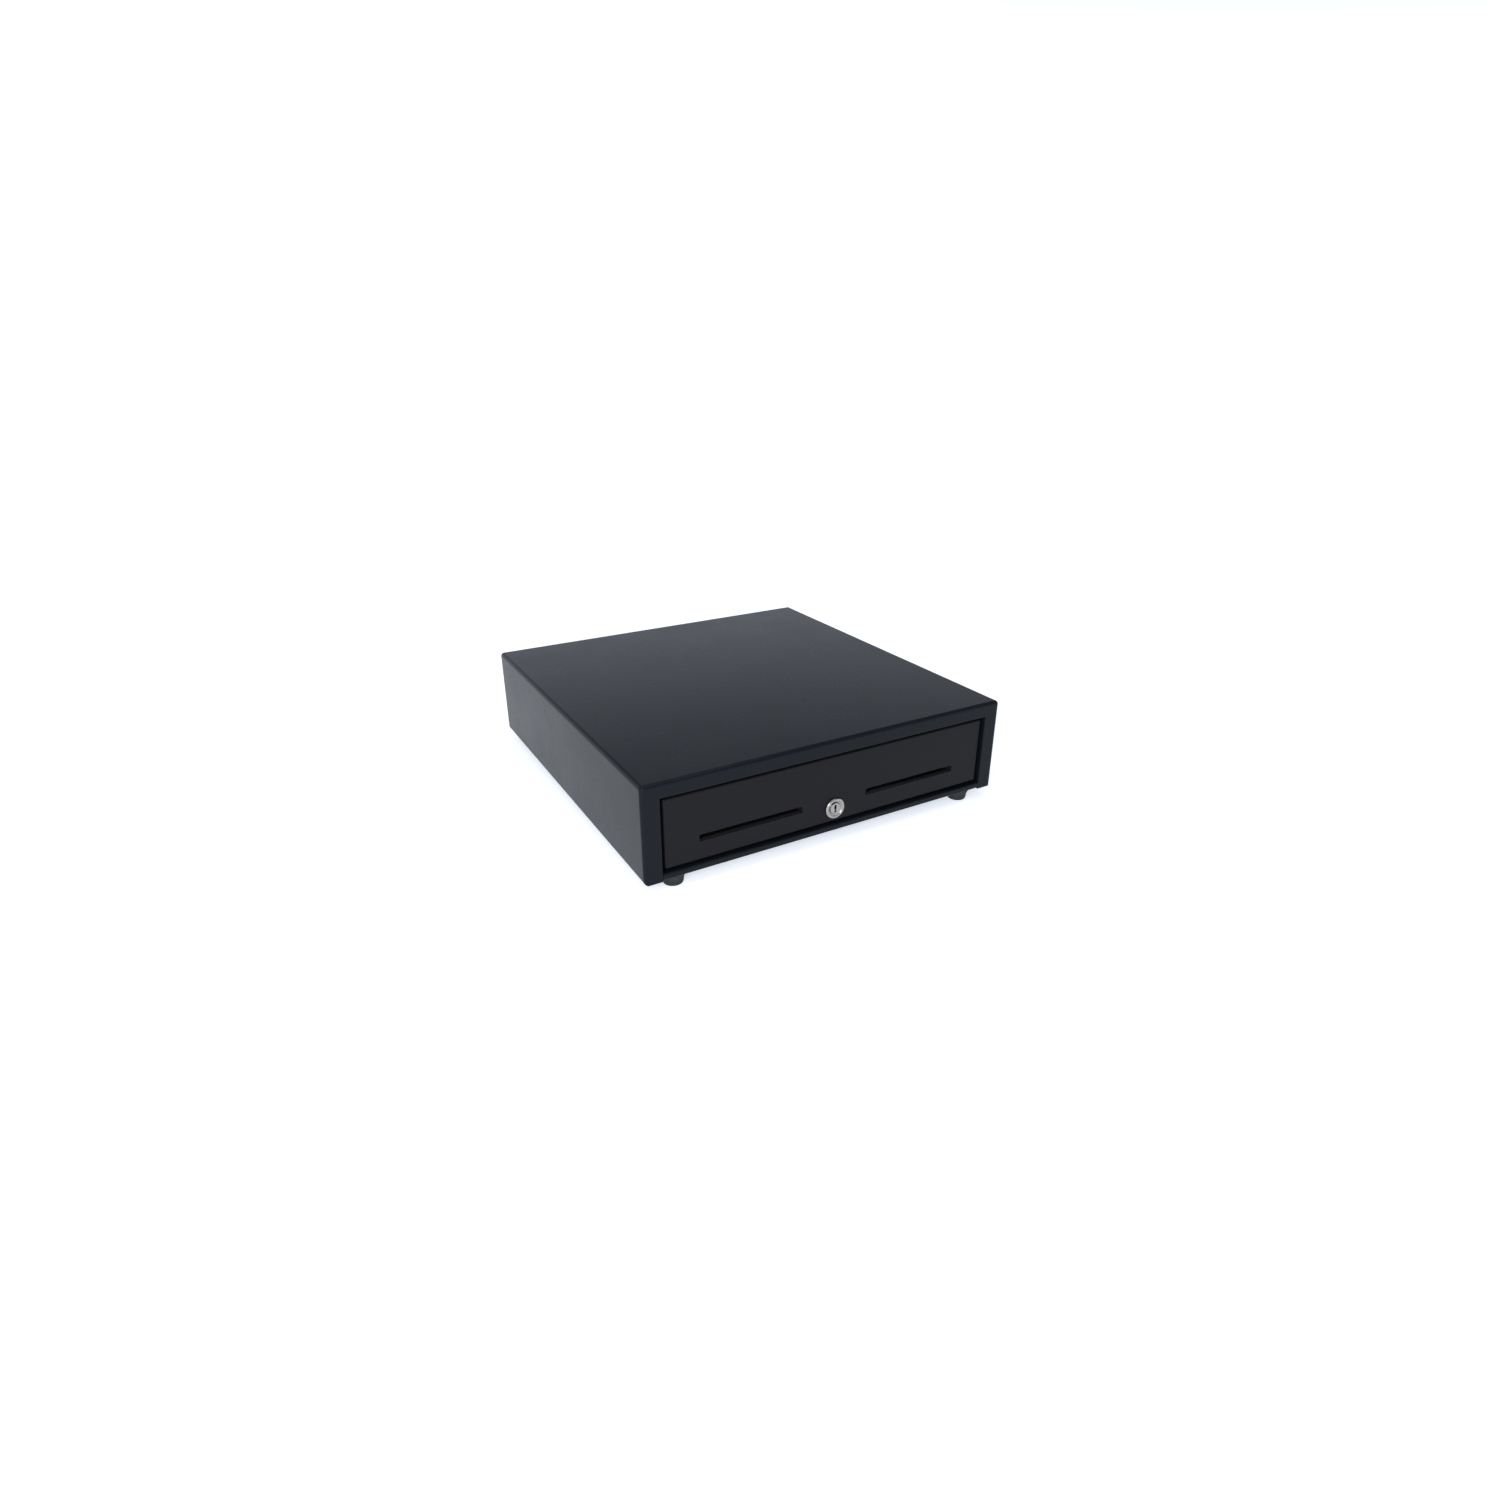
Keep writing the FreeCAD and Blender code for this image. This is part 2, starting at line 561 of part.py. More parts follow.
def drawer_tub():
    """Folded steel tray: floor, sides with a safe edge, a front wall and a lower rear wall."""
    outer = box(-TUB_HALF, TUB_HALF, FRONT_BACK, TUB_BACK, TUB_BOTTOM, TUB_TOP)
    outer = rounded(outer, 1.8, lambda p, d: near(p.z, TUB_BOTTOM) or abs(d.z) > 0.9)
    half = TUB_HALF - SHEET
    inner = box(-half, half, FRONT_BACK + SHEET, TUB_BACK - SHEET, TUB_BOTTOM + SHEET, TUB_TOP + 1)
    inner = rounded(inner, 0.8, lambda p, d: near(p.z, TUB_BOTTOM + SHEET) or abs(d.z) > 0.9)
    tub = outer.cut(inner)
    edge = box(TUB_HALF - SHEET / 2, TUB_HALF + SAFE_EDGE, SLIDE_FRONT + 2, TUB_BACK - 4,
               TUB_TOP - SHEET, TUB_TOP)
    tub = joined([tub, edge, mirrored(edge)])
    rear_step = box(-half + 6, half - 6, TUB_BACK - 2 * SHEET, TUB_BACK + 1, TUB_REAR_TOP, TUB_TOP + 1)
    cuts = guide_windows() + [rear_step]
    cuts += [hole(Vector(x, FRONT_BACK, z), Y) for x, z in FRONT_SCREWS]
    cuts += [hole(Vector(sx * SLIDE_IN, y, SLIDE_Z), X) for y in slide_screw_ys() for sx in (-1, 1)]
    return less(tub, cuts)


def front_screws():
    """Screws from inside the tub into the lips of the drawer front."""
    return [screw(Vector(x, FRONT_BACK + SHEET, z), -Y, 6, 3.2) for x, z in FRONT_SCREWS]


def slip_guide():
    """Plastic chute that carries a slip from the right-hand slot down under the till."""
    x0, x1 = SLOT_INNER - GUIDE_MARGIN, SLOT_OUTER + GUIDE_MARGIN
    face = FACE_Y + FRONT_SHEET
    top = SLOT_HIGH + GUIDE_WALL
    outline = [(face, top), (-196, top), (GUIDE_BACK, GUIDE_TOP_REAR + GUIDE_WALL)]
    outline += [(GUIDE_BACK, GUIDE_LOW_REAR - GUIDE_WALL), (-190, GUIDE_LOW_REAR - GUIDE_WALL)]
    outline += [(-201, SLOT_LOW - GUIDE_WALL), (face, SLOT_LOW - GUIDE_WALL)]
    way = [(face - 1, SLOT_HIGH), (-196, SLOT_HIGH), (GUIDE_BACK + 1, GUIDE_TOP_REAR)]
    way += [(GUIDE_BACK + 1, GUIDE_LOW_REAR), (-190, GUIDE_LOW_REAR)]
    way += [(-199.5, SLOT_LOW), (face - 1, SLOT_LOW)]
    body = prism([Vector(x0, y, z) for y, z in outline], X * (x1 - x0))
    hollow = prism([Vector(x0 + GUIDE_WALL, y, z) for y, z in way], X * (x1 - x0 - 2 * GUIDE_WALL))
    return body.cut(hollow)


def till_ledge():
    """Angle on the right-hand side of the tub that the till rests on."""
    side = TUB_HALF - SHEET
    shelf = TILL_BOTTOM - 0.1
    leg = 11.0
    points = [(side, shelf - leg), (side, shelf), (side - leg, shelf)]
    return folded(points, SHEET, 0.5, xz(TILL_FRONT + 6), Y * (TILL_BACK - TILL_FRONT - 14))


def striker():
    """Bracket on the tub's back with the upright pin that the latch hook catches."""
    plates = [box(-8, 8, TUB_BACK, STRIKER_Y + 5, z, z + 1.5) for z in (29, 43)]
    pin = rod(STRIKER_RADIUS, Vector(0, STRIKER_Y, 29), Z, 15.5)
    flange = box(-8, 8, TUB_BACK, TUB_BACK + 1.5, 26, 50)
    return joined(plates + [pin, flange])


# ---------------------------------------------------------------- lock
BEZEL_FRONT = FRONT
BARREL_BACK = -190.0
CAM_FRONT = -189.6
CAM_SHEET = 1.6
KEYWAY_WIDTH = 2.2
KEYWAY_HEIGHT = 7.6


def lock_barrel():
    """Cam lock housing: a bezel outside the drawer front and a barrel with two flats behind it."""
    bezel = rod(LOCK_BEZEL_RADIUS, Vector(0, BEZEL_FRONT, LOCK_Z), Y, FACE_Y - BEZEL_FRONT)
    front_edge = [e for e in bezel.Edges if near(e.BoundBox.YMax, BEZEL_FRONT)]
    bezel = bezel.makeChamfer(1.2, front_edge)
    barrel = rod(LOCK_BARREL_RADIUS, Vector(0, FACE_Y, LOCK_Z), Y, BARREL_BACK - FACE_Y)
    barrel = barrel.common(box(-8, 8, FACE_Y, BARREL_BACK, 0, HIGH))
    bore = rod(LOCK_PLUG_RADIUS + 0.06, Vector(0, BEZEL_FRONT - 1, LOCK_Z), Y, 30)
    return bezel.fuse(barrel).removeSplitter().cut(bore)


def lock_nut():
    """Hexagonal nut that clamps the barrel from behind the drawer front."""
    across_corners = 13.5
    corners = []
    for i in range(6):
        turn = math.radians(60 * i)
        x, z = across_corners * math.cos(turn), across_corners * math.sin(turn)
        corners.append(Vector(x, FACE_Y + FRONT_SHEET, LOCK_Z + z))
    bore = rod(LOCK_BARREL_RADIUS + 0.05, Vector(0, FACE_Y, LOCK_Z), Y, 10)
    return prism(corners, Y * 4).cut(bore)


def lock_plug():
    """The part that the key turns, with its keyway at the front and a square tail for the cam."""
    front = BEZEL_FRONT + 0.5
    plug = rod(LOCK_PLUG_RADIUS, Vector(0, front, LOCK_Z), Y, BARREL_BACK + 0.2 - front)
    tail = box(-3, 3, BARREL_BACK, CAM_FRONT + CAM_SHEET, LOCK_Z - 3, LOCK_Z + 3)
    half_w, half_h = KEYWAY_WIDTH / 2, KEYWAY_HEIGHT / 2
    keyway = box(-half_w, half_w, front - 1, front + 13, LOCK_Z - half_h, LOCK_Z + half_h)
    thread = rod(1.3, Vector(0, BARREL_BACK - 3, LOCK_Z), Y, 10)
    return joined([plug, tail]).cut(keyway).cut(thread)


def lock_cam():
    """Steel tongue on the plug's tail. It lies level when unlocked and points down when locked."""
    reach = LOCK_CAM_LENGTH
    tongue = box(0, reach, CAM_FRONT, CAM_FRONT + CAM_SHEET, LOCK_Z - 5, LOCK_Z + 5)
    hub = rod(7, Vector(0, CAM_FRONT, LOCK_Z), Y, CAM_SHEET)
    tip = rod(reach, Vector(0, CAM_FRONT - 1, LOCK_Z), Y, CAM_SHEET + 2)
    square = box(-3.03, 3.03, CAM_FRONT - 1, CAM_FRONT + 3, LOCK_Z - 3.03, LOCK_Z + 3.03)
    return joined([tongue, hub]).common(tip).cut(square)


def cam_screw():
    return screw(Vector(0, CAM_FRONT + CAM_SHEET, LOCK_Z), -Y, 4, 4.4, 1.2)


def lock_keeper():
    """Angle on the base pan that the lowered cam stands behind."""
    upright = CAM_FRONT - 1.0
    points = [(upright - 12, PAN_HIGH), (upright, PAN_HIGH), (upright, FRONT_BOTTOM - 0.9)]
    return folded(points, 1.5, 0.6, lambda a, b: Vector(-15, a, b), X * 30)


# ---------------------------------------------------------------- till
CUP_GAP = 0.4
DIVIDER_TOP = 86.0
DIVIDER_SHEET = 2.0
GUIDE_DEPTH = 3.0
GUIDE_WEB = 0.8
GUIDE_HALF_WIDTH = 2.7


def till_tray():
    """Moulded till: a coin section in front and a note section behind."""
    half = TILL_HALF_WIDTH
    body = box(-half, half, TILL_FRONT, TILL_BACK, TILL_BOTTOM, TILL_TOP)
    rim = box(-half - TILL_RIM, half + TILL_RIM, TILL_FRONT, TILL_BACK + TILL_RIM, TILL_TOP - 2, TILL_TOP)
    body = rounded(body, 2, lambda p, d: abs(d.z) > 0.9)
    rim = rounded(rim, 2, lambda p, d: abs(d.z) > 0.9)
    inside = half - TILL_WALL
    coins = box(-inside, inside, TILL_FRONT + TILL_WALL, COIN_BACK, TILL_FLOOR, TILL_TOP + 1)
    bills = box(-inside, inside, BILL_FRONT, BILL_BACK, TILL_FLOOR, TILL_TOP + 1)
    rod_way = rod(CLIP_ROD_RADIUS + 0.05, Vector(-half - 5, CLIP_ROD_Y, CLIP_ROD_Z), X, 2 * half + 10)
    return less(joined([body, rim]), [coins, bills, rod_way])


def divider_guide(x, wall_y, inward):
    """Channel on one wall of the note section, with an end of a divider in it."""
    y0, y1 = sorted((wall_y, wall_y + inward * GUIDE_DEPTH))
    guide = box(x - GUIDE_HALF_WIDTH, x + GUIDE_HALF_WIDTH, y0, y1, TILL_FLOOR, DIVIDER_TOP)
    y0, y1 = sorted((wall_y + inward * GUIDE_WEB, wall_y + inward * (GUIDE_DEPTH + 1)))
    groove_half = DIVIDER_SHEET / 2 + 0.1
    groove = box(x - groove_half, x + groove_half, y0, y1, TILL_FLOOR - 1, DIVIDER_TOP + 1)
    return guide.cut(groove)


def divider_guides():
    """The channels that hold the three dividers, front and back."""
    front = [divider_guide(x, BILL_FRONT, 1) for x in DIVIDER_XS]
    back = [divider_guide(x, BILL_BACK, -1) for x in DIVIDER_XS]
    return front + back


def note_dividers():
    """Lift-out walls between the note compartments, notched at the back to pass under the rod."""
    made = []
    low = TILL_FLOOR + 0.1
    end = GUIDE_WEB + 0.2
    for x in DIVIDER_XS:
        wall = box(x - DIVIDER_SHEET / 2, x + DIVIDER_SHEET / 2, BILL_FRONT + end, BILL_BACK - end,
                   low, DIVIDER_TOP)
        wall = rounded(wall, 10, lambda p, d: near(p.z, DIVIDER_TOP) and p.y < BILL_FRONT + 2)
        notch = box(x - 3, x + 3, CLIP_ROD_Y - 2.4, CLIP_ROD_Y + 2.4, CLIP_ROD_Z - 2.4, DIVIDER_TOP + 1)
        made.append(wall.cut(notch))
    return made


def coin_cup(x, y0, y1):
    """A loose coin cup with a scooped floor."""
    half = COLUMN_WIDTH / 2 - CUP_GAP
    low = TILL_FLOOR + 0.1
    top = TILL_TOP - 3
    wall = 1.8
    cup = box(x - half, x + half, y0, y1, low, top)
    cup = rounded(cup, 3, lambda p, d: abs(d.z) > 0.9)
    hollow = box(x - half + wall, x + half - wall, y0 + wall, y1 - wall, low + wall, top + 30)
    hollow = rounded(hollow, 16, lambda p, d: near(p.z, low + wall) and abs(d.x) > 0.9)
    return cup.cut(hollow)


def coin_cups(row):
    """The four cups of the front row, 0, or the rear row, 1."""
    depth = COIN_DEPTH / 2
    y0 = TILL_FRONT + TILL_WALL + row * depth + CUP_GAP
    return [coin_cup(x, y0, y0 + depth - 2 * CUP_GAP) for x in COLUMN_MIDDLES]


def clip_rod():
    reach = TILL_HALF_WIDTH + 1.5
    return rod(CLIP_ROD_RADIUS, Vector(-reach, CLIP_ROD_Y, CLIP_ROD_Z), X, 2 * reach)


def clip_tip():
    """Centre of a clip's rounded tip, resting just over the floor of its compartment."""
    return CLIP_ROD_Y - CLIP_REACH, TILL_FLOOR + CLIP_TIP_RADIUS + 0.4


def note_clip(x):
    """Spring-loaded arm that holds notes down: a hub on the rod, an arm and a rounded tip."""
    hub_radius, half = 5.0, 9.0
    tip_y, tip_z = clip_tip()
    hub = rod(hub_radius, Vector(x - half, CLIP_ROD_Y, CLIP_ROD_Z), X, 2 * half)
    tip = rod(CLIP_TIP_RADIUS, Vector(x - half, tip_y, tip_z), X, 2 * half)
    slope = math.atan2(CLIP_ROD_Z - tip_z, CLIP_REACH)
    up = Vector(0, -math.sin(slope), math.cos(slope))
    hub_middle, tip_middle = Vector(x - half, CLIP_ROD_Y, CLIP_ROD_Z), Vector(x - half, tip_y, tip_z)
    outline = [hub_middle + up * (hub_radius - 0.8), hub_middle + up * 1.0]
    outline += [tip_middle + up * 0.2, tip_middle + up * (CLIP_TIP_RADIUS - 0.6)]
    arm = prism(outline, X * (2 * half))
    bore = rod(CLIP_ROD_RADIUS + 0.08, Vector(x - half - 1, CLIP_ROD_Y, CLIP_ROD_Z), X, 2 * half + 2)
    return joined([hub, tip, arm]).cut(bore)


def clip_springs():
    """Torsion springs on the rod, beside each clip's hub."""
    made = []
    for x in COLUMN_MIDDLES:
        centre = Vector(x + 14, CLIP_ROD_Y, CLIP_ROD_Z)
        made.append(scalloped_tube(centre, X, Z, 3.2, 0.5, 8))
    return made


# ---------------------------------------------------------------- latch
PLATE_HIGH = PAN_HIGH + 1.5
SOLENOID_LEFT = -66.0
SOLENOID_RIGHT = -36.0
SOLENOID_Y = HOOK_Y - PLUNGER_ARM
SOLENOID_HALF = 12.0
SPRING_POST_X = 26.0
SPRING_Y = 172.0
SPRING_Z = 42.0


def released(shape):
    """Turns a shape drawn with the hook engaged to where the hook is when released."""
    turned = shape.copy()
    turned.rotate(Vector(HOOK_X, HOOK_Y, 0), Z, -HOOK_SWING)
    return turned


def latch_screw_points():
    return [Vector(x, y, PAN_HIGH) for x in (-76.0, 38.0) for y in (158.0, 192.0)]


def latch_plate():
    """Base of the latch: a plate with an upright post for the return spring."""
    plate = box(-82, 44, 150, 195, PAN_HIGH, PLATE_HIGH)
    plate = rounded(plate, 4, lambda p, d: abs(d.z) > 0.9)
    post = rod(2, Vector(SPRING_POST_X, SPRING_Y, PAN_HIGH), Z, 32)
    cuts = [hole(p, Z) for p in latch_screw_points()]
    return less(joined([plate, post]), cuts + [release_slot()])


def latch_pivot():
    """Shouldered post that the hook turns on, with a retaining flange on top."""
    shoulder = rod(4.5, Vector(HOOK_X, HOOK_Y, PLATE_HIGH), Z, HOOK_LOW - 0.2 - PLATE_HIGH)
    spindle = rod(2.5, Vector(HOOK_X, HOOK_Y, PLATE_HIGH), Z, HOOK_HIGH + 1.5 - PLATE_HIGH)
    cap = rod(4.2, Vector(HOOK_X, HOOK_Y, HOOK_HIGH + 0.2), Z, 1.3)
    return joined([shoulder, spindle, cap])


def latch_hook():
    """Flat hook with a nose that catches the striker, a slot for the plunger and a tail for the switch."""
    face = STRIKER_Y - STRIKER_RADIUS - 0.3
    outline = [(HOOK_X - 4, HOOK_Y), (HOOK_X - 4, face - 3), (HOOK_X, face - 6), (HOOK_X + 5, face - 6)]
    outline += [(HOOK_X + 13, face - 2), (HOOK_X + 13, face), (HOOK_X + 4, face), (HOOK_X + 4, HOOK_Y)]
    outline += [(HOOK_X + 3, HOOK_Y + 16), (HOOK_X - 3, HOOK_Y + 16)]
    arm = prism([Vector(a, b, HOOK_LOW) for a, b in outline], Z * HOOK_THICK)
    hub = rod(7, Vector(HOOK_X, HOOK_Y, HOOK_LOW), Z, HOOK_THICK)
    peg = rod(1.5, Vector(HOOK_X, SPRING_Y + 0.5, HOOK_LOW), Z, 11)
    bore = rod(2.5 + 0.05, Vector(HOOK_X, HOOK_Y, HOOK_LOW - 1), Z, 6)
    slot = box(HOOK_X - 1.7, HOOK_X + 1.7, HOOK_Y - PLUNGER_ARM - 2.2, HOOK_Y - PLUNGER_ARM + 2.0,
               HOOK_LOW - 1, HOOK_HIGH + 1)
    return released(less(joined([arm, hub, peg]), [bore, slot]))


def latch_spring():
    """Close-wound spring that pulls the hook to its engaged position, with a loop at each end."""
    wire, turns = 0.4, 28
    peg = released(Part.Vertex(Vector(HOOK_X, SPRING_Y + 0.5, SPRING_Z))).Point
    post = Vector(SPRING_POST_X, SPRING_Y, SPRING_Z)
    span = (post - peg).Length
    along = (post - peg).normalize()
    pieces = [scalloped_tube((peg + post) * 0.5, along, Z, 2.6, wire, turns)]
    for end, inward, hold in ((peg, along, 1.5), (post, along * -1, 2.0)):
        ring = hold + wire + 0.2
        lead = span / 2 - wire * turns - ring
        loop = Part.makeTorus(ring, wire, end, Z)
        loop.rotate(end, Z, 90)
        pieces.append(loop)
        pieces.append(rod(wire * 0.8, end + inward * ring, inward, lead + 1.5 * wire))
        pieces.append(rod(wire * 0.6, end + inward * (ring + lead + 0.8 * wire), Z, 2.6))
    return joined(pieces)


def solenoid_frame():
    """U-shaped yoke that holds the coil."""
    low, high = PLATE_HIGH, 50.0
    y0, y1 = SOLENOID_Y - SOLENOID_HALF, SOLENOID_Y + SOLENOID_HALF
    base = box(SOLENOID_LEFT, SOLENOID_RIGHT, y0, y1, low, low + 1.5)
    ends = [box(x, x + 1.5, y0, y1, low, high) for x in (SOLENOID_LEFT, SOLENOID_RIGHT - 1.5)]
    bore = rod(5.0, Vector(SOLENOID_LEFT - 1, SOLENOID_Y, HOOK_MIDDLE), X, 40)
    return joined([base] + ends).cut(bore)


def solenoid_coil():
    """Bobbin and winding, with a bore for the plunger."""
    left, right = SOLENOID_LEFT + 1.6, SOLENOID_RIGHT - 1.6
    axis = Vector(left, SOLENOID_Y, HOOK_MIDDLE)
    flanges = [rod(11.5, axis, X, 1.2), rod(11.5, Vector(right - 1.2, SOLENOID_Y, HOOK_MIDDLE), X, 1.2)]
    winding = rod(10.2, axis, X, right - left)
    bore = rod(4.25, axis - X, X, right - left + 2)
    return joined([winding] + flanges).cut(bore)


def plunger_pin_x():
    """Where the plunger's pin stands with the hook released."""
    return HOOK_X - PLUNGER_ARM * math.sin(math.radians(HOOK_SWING))


def solenoid_plunger():
    """Iron core with a forked end that straddles the hook."""
    pin_x = plunger_pin_x()
    start = SOLENOID_LEFT + 5
    core = rod(4.0, Vector(start, SOLENOID_Y, HOOK_MIDDLE), X, pin_x + 4 - start)
    gap = box(pin_x - 7, pin_x + 6, SOLENOID_Y - 6, SOLENOID_Y + 6, HOOK_LOW - 0.2, HOOK_HIGH + 0.2)
    pin_hole = rod(1.5, Vector(pin_x, SOLENOID_Y, HOOK_LOW - 6), Z, 16)
    return less(core, [gap, pin_hole])


def plunger_pin():
    return rod(1.5, Vector(plunger_pin_x(), SOLENOID_Y, HOOK_MIDDLE - 4.6), Z, 9.2)


def switch_body():
    """Microswitch that reports whether the latch is released, on a moulded stand."""
    px, py = SWITCH_PIVOT.x, SWITCH_PIVOT.y
    body = box(0, 10, 179, 198, HOOK_LOW - 2, HOOK_HIGH + 4)
    stand = box(0, 10, 182, 194, PLATE_HIGH, HOOK_LOW - 2)
    button = rod(1.2, Vector(-2.9, 188, HOOK_MIDDLE), X, 3.5)
    arm = box(px - 1.6, 2, py - 2, py + 2, HOOK_LOW - 2, HOOK_LOW - 0.5)
    spindle = rod(0.8, SWITCH_PIVOT + Z * (HOOK_LOW - 2), Z, 6)
    return joined([body, stand, button, arm, spindle])


def switch_lever():
    """Spring-steel lever between the hook's tail and the switch's button."""
    pivot = SWITCH_PIVOT + Z * HOOK_LOW
    contact = Vector(-4.6, HOOK_Y + 13.8, HOOK_LOW)
    side = X * 0.4
    hub = rod(1.6, pivot, Z, HOOK_THICK)
    blade = prism([pivot - side, pivot + side, contact + side, contact - side], Z * HOOK_THICK)
    bump = rod(1.4, contact, Z, HOOK_THICK)
    bore = rod(0.8 + 0.05, pivot - Z, Z, 6)
    return joined([hub, blade, bump]).cut(bore)


def latch_screws():
    return [screw(p + Z * 1.5, -Z, 4) for p in latch_screw_points()]


CABLE_RADIUS = 1.5
CABLE_Z = 20.0
CABLE_BEND = 11.0


def latch_cable():
    """Lead from the coil to the back of the socket: two straight runs and one round bend."""
    start = Vector(SOLENOID_LEFT, SOLENOID_Y, CABLE_Z)
    corner = Vector(SOCKET_X, SOLENOID_Y, CABLE_Z)
    end = Vector(SOCKET_X, SOCKET_FRONT, CABLE_Z)
    bend_in = corner + X * CABLE_BEND
    bend_out = corner + Y * CABLE_BEND
    centre = corner + X * CABLE_BEND + Y * CABLE_BEND
    middle = centre - (X + Y).normalize() * CABLE_BEND
    edges = [Part.makeLine(start, bend_in), Part.Arc(bend_in, middle, bend_out).toShape()]
    edges.append(Part.makeLine(bend_out, end))
    path = Part.Wire(edges)
    ring = Part.Wire(Part.makeCircle(CABLE_RADIUS, start, X))
    return path.makePipeShell([ring], True, False)


EJECTOR_X = 90.0
EJECTOR_Z = 45.0


def ejector_guide():
    """Angle on the base pan with a stud that the ejector spring slides over."""
    points = [(176, PAN_HIGH), (192, PAN_HIGH), (192, EJECTOR_Z + 12)]
    angle = folded(points, 1.5, 0.8, lambda a, b: Vector(EJECTOR_X - 12, a, b), X * 24)
    stud = rod(4, Vector(EJECTOR_X, 191, EJECTOR_Z), -Y, 24)
    return joined([angle, stud])


def ejector_spring():
    """Compressed coil between the guide and the tub's back, which pushes the drawer out."""
    wire = 0.8
    turns = 7
    start, end = TUB_BACK + wire + 0.3, 190.5 - wire - 0.3
    pitch = (end - start) / turns
    helix = Part.makeHelix(pitch, pitch * turns, 6.5)
    ring = Part.Wire(Part.makeCircle(wire, Vector(6.5, 0, 0), Y))
    coil = Part.Wire(helix).makePipeShell([ring], True, True)
    coil.rotate(Vector(0, 0, 0), X, -90)
    coil.translate(Vector(EJECTOR_X, start, EJECTOR_Z))
    return coil


# ---------------------------------------------------------------- sub-parts and their files
def both(shape):
    return [shape, mirrored(shape)]


SLIDES = {"outer": slide_outer, "middle": slide_middle, "inner": slide_inner}


def sub_parts():
    """Every node's name with its list of solids."""
    nodes = {
        "case_cover": [case_cover()],
        "base_pan": [base_pan()],
        "back_panel": [back_panel()],
        "rubber_feet": [foot(x, y) for x, y in FOOT_PLACES],
        "foot_screws": [foot_screw(x, y) for x, y in FOOT_PLACES],
        "base_screws": [screw(p, Z, 5) for p in base_screw_points()],
        "slide_bracket_right": [slide_bracket()],
        "slide_bracket_left": [mirrored(slide_bracket())],
        "slide_case_rivets": case_rivets(),
        "slide_tub_rivets": tub_rivets(),
        "ball_cages_outer": both(ball_cage(CAGE_OUT_X, 178.2, BALL_OUTER_X, BALL_OUTER_RISE)),
        "balls_outer": balls(BALL_OUTER_X, BALL_OUTER_RISE),
        "ball_cages_inner": both(ball_cage(CAGE_IN_X, 176.4, BALL_INNER_X, BALL_INNER_RISE)),
        "balls_inner": balls(BALL_INNER_X, BALL_INNER_RISE),
        "cable_socket": [cable_socket()],
        "latch_cable": [latch_cable()],
        "latch_plate": [latch_plate()],
        "latch_screws": latch_screws(),
        "latch_pivot": [latch_pivot()],
        "latch_hook": [latch_hook()],
        "latch_spring": [latch_spring()],
        "solenoid_frame": [solenoid_frame()],
        "solenoid_coil": [solenoid_coil()],
        "solenoid_plunger": [solenoid_plunger()],
        "plunger_pin": [plunger_pin()],
        "switch_body": [switch_body()],
        "switch_lever": [switch_lever()],
        "ejector_guide": [ejector_guide()],
        "ejector_spring": [ejector_spring()],
        "lock_keeper": [lock_keeper()],
        "drawer_front": [drawer_front()],
        "drawer_tub": [drawer_tub()],
        "front_screws": front_screws(),
        "slip_guide_right": [slip_guide()],
        "slip_guide_left": [mirrored(slip_guide())],
        "till_ledges": both(till_ledge()),
        "striker": [striker()],
        "lock_barrel": [lock_barrel()],
        "lock_nut": [lock_nut()],
        "lock_plug": [lock_plug()],
        "lock_cam": [lock_cam()],
        "cam_screw": [cam_screw()],
        "till_tray": [till_tray()],
        "divider_guides": divider_guides(),
        "note_dividers": note_dividers(),
        "coin_cups_front": coin_cups(0),
        "coin_cups_rear": coin_cups(1),
        "clip_rod": [clip_rod()],
        "clip_springs": clip_springs(),
    }
    for name, make in SLIDES.items():
        nodes[f"slide_{name}_right"] = [make()]
        nodes[f"slide_{name}_left"] = [mirrored(make())]
    for number, x in enumerate(COLUMN_MIDDLES, start=1):
        nodes[f"note_clip_{number}"] = [note_clip(x)]
    return nodes


def single_solids(name, shapes):
    """The solids of a node's shapes, after checking that each shape is one sound solid."""
    solids = []
    for shape in shapes:
        if len(shape.Solids) != 1 or not shape.isValid() or shape.Solids[0].Volume <= 0:
            raise ValueError(f"{name}: a shape holds {len(shape.Solids)} solids, valid {shape.isValid()}")
        solids += shape.Solids
    return solids


os.makedirs("parts", exist_ok=True)
for node, node_shapes in sub_parts().items():
    found = single_solids(node, node_shapes)
    made = found[0] if len(found) == 1 else Part.makeCompound(found)
    made.exportStep(f"parts/{node}.step")
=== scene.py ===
"""Cash drawer: the looks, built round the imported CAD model. Lengths are in metres."""
import math

import bmesh
import bpy
from mathutils import Matrix, Vector


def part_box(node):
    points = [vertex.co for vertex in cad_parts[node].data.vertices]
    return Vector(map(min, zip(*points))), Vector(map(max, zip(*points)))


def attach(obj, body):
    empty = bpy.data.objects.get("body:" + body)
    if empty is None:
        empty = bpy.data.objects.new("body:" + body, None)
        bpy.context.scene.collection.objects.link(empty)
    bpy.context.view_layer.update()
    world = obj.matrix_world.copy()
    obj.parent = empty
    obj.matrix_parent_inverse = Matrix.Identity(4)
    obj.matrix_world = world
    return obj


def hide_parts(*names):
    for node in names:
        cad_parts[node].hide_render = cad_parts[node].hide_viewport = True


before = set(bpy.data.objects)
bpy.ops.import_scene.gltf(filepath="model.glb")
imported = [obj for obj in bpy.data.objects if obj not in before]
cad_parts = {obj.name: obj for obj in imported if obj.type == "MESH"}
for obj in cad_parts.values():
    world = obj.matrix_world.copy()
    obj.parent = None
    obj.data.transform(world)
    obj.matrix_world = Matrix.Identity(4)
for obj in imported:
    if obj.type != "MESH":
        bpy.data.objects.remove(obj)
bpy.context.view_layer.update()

MM = 0.001

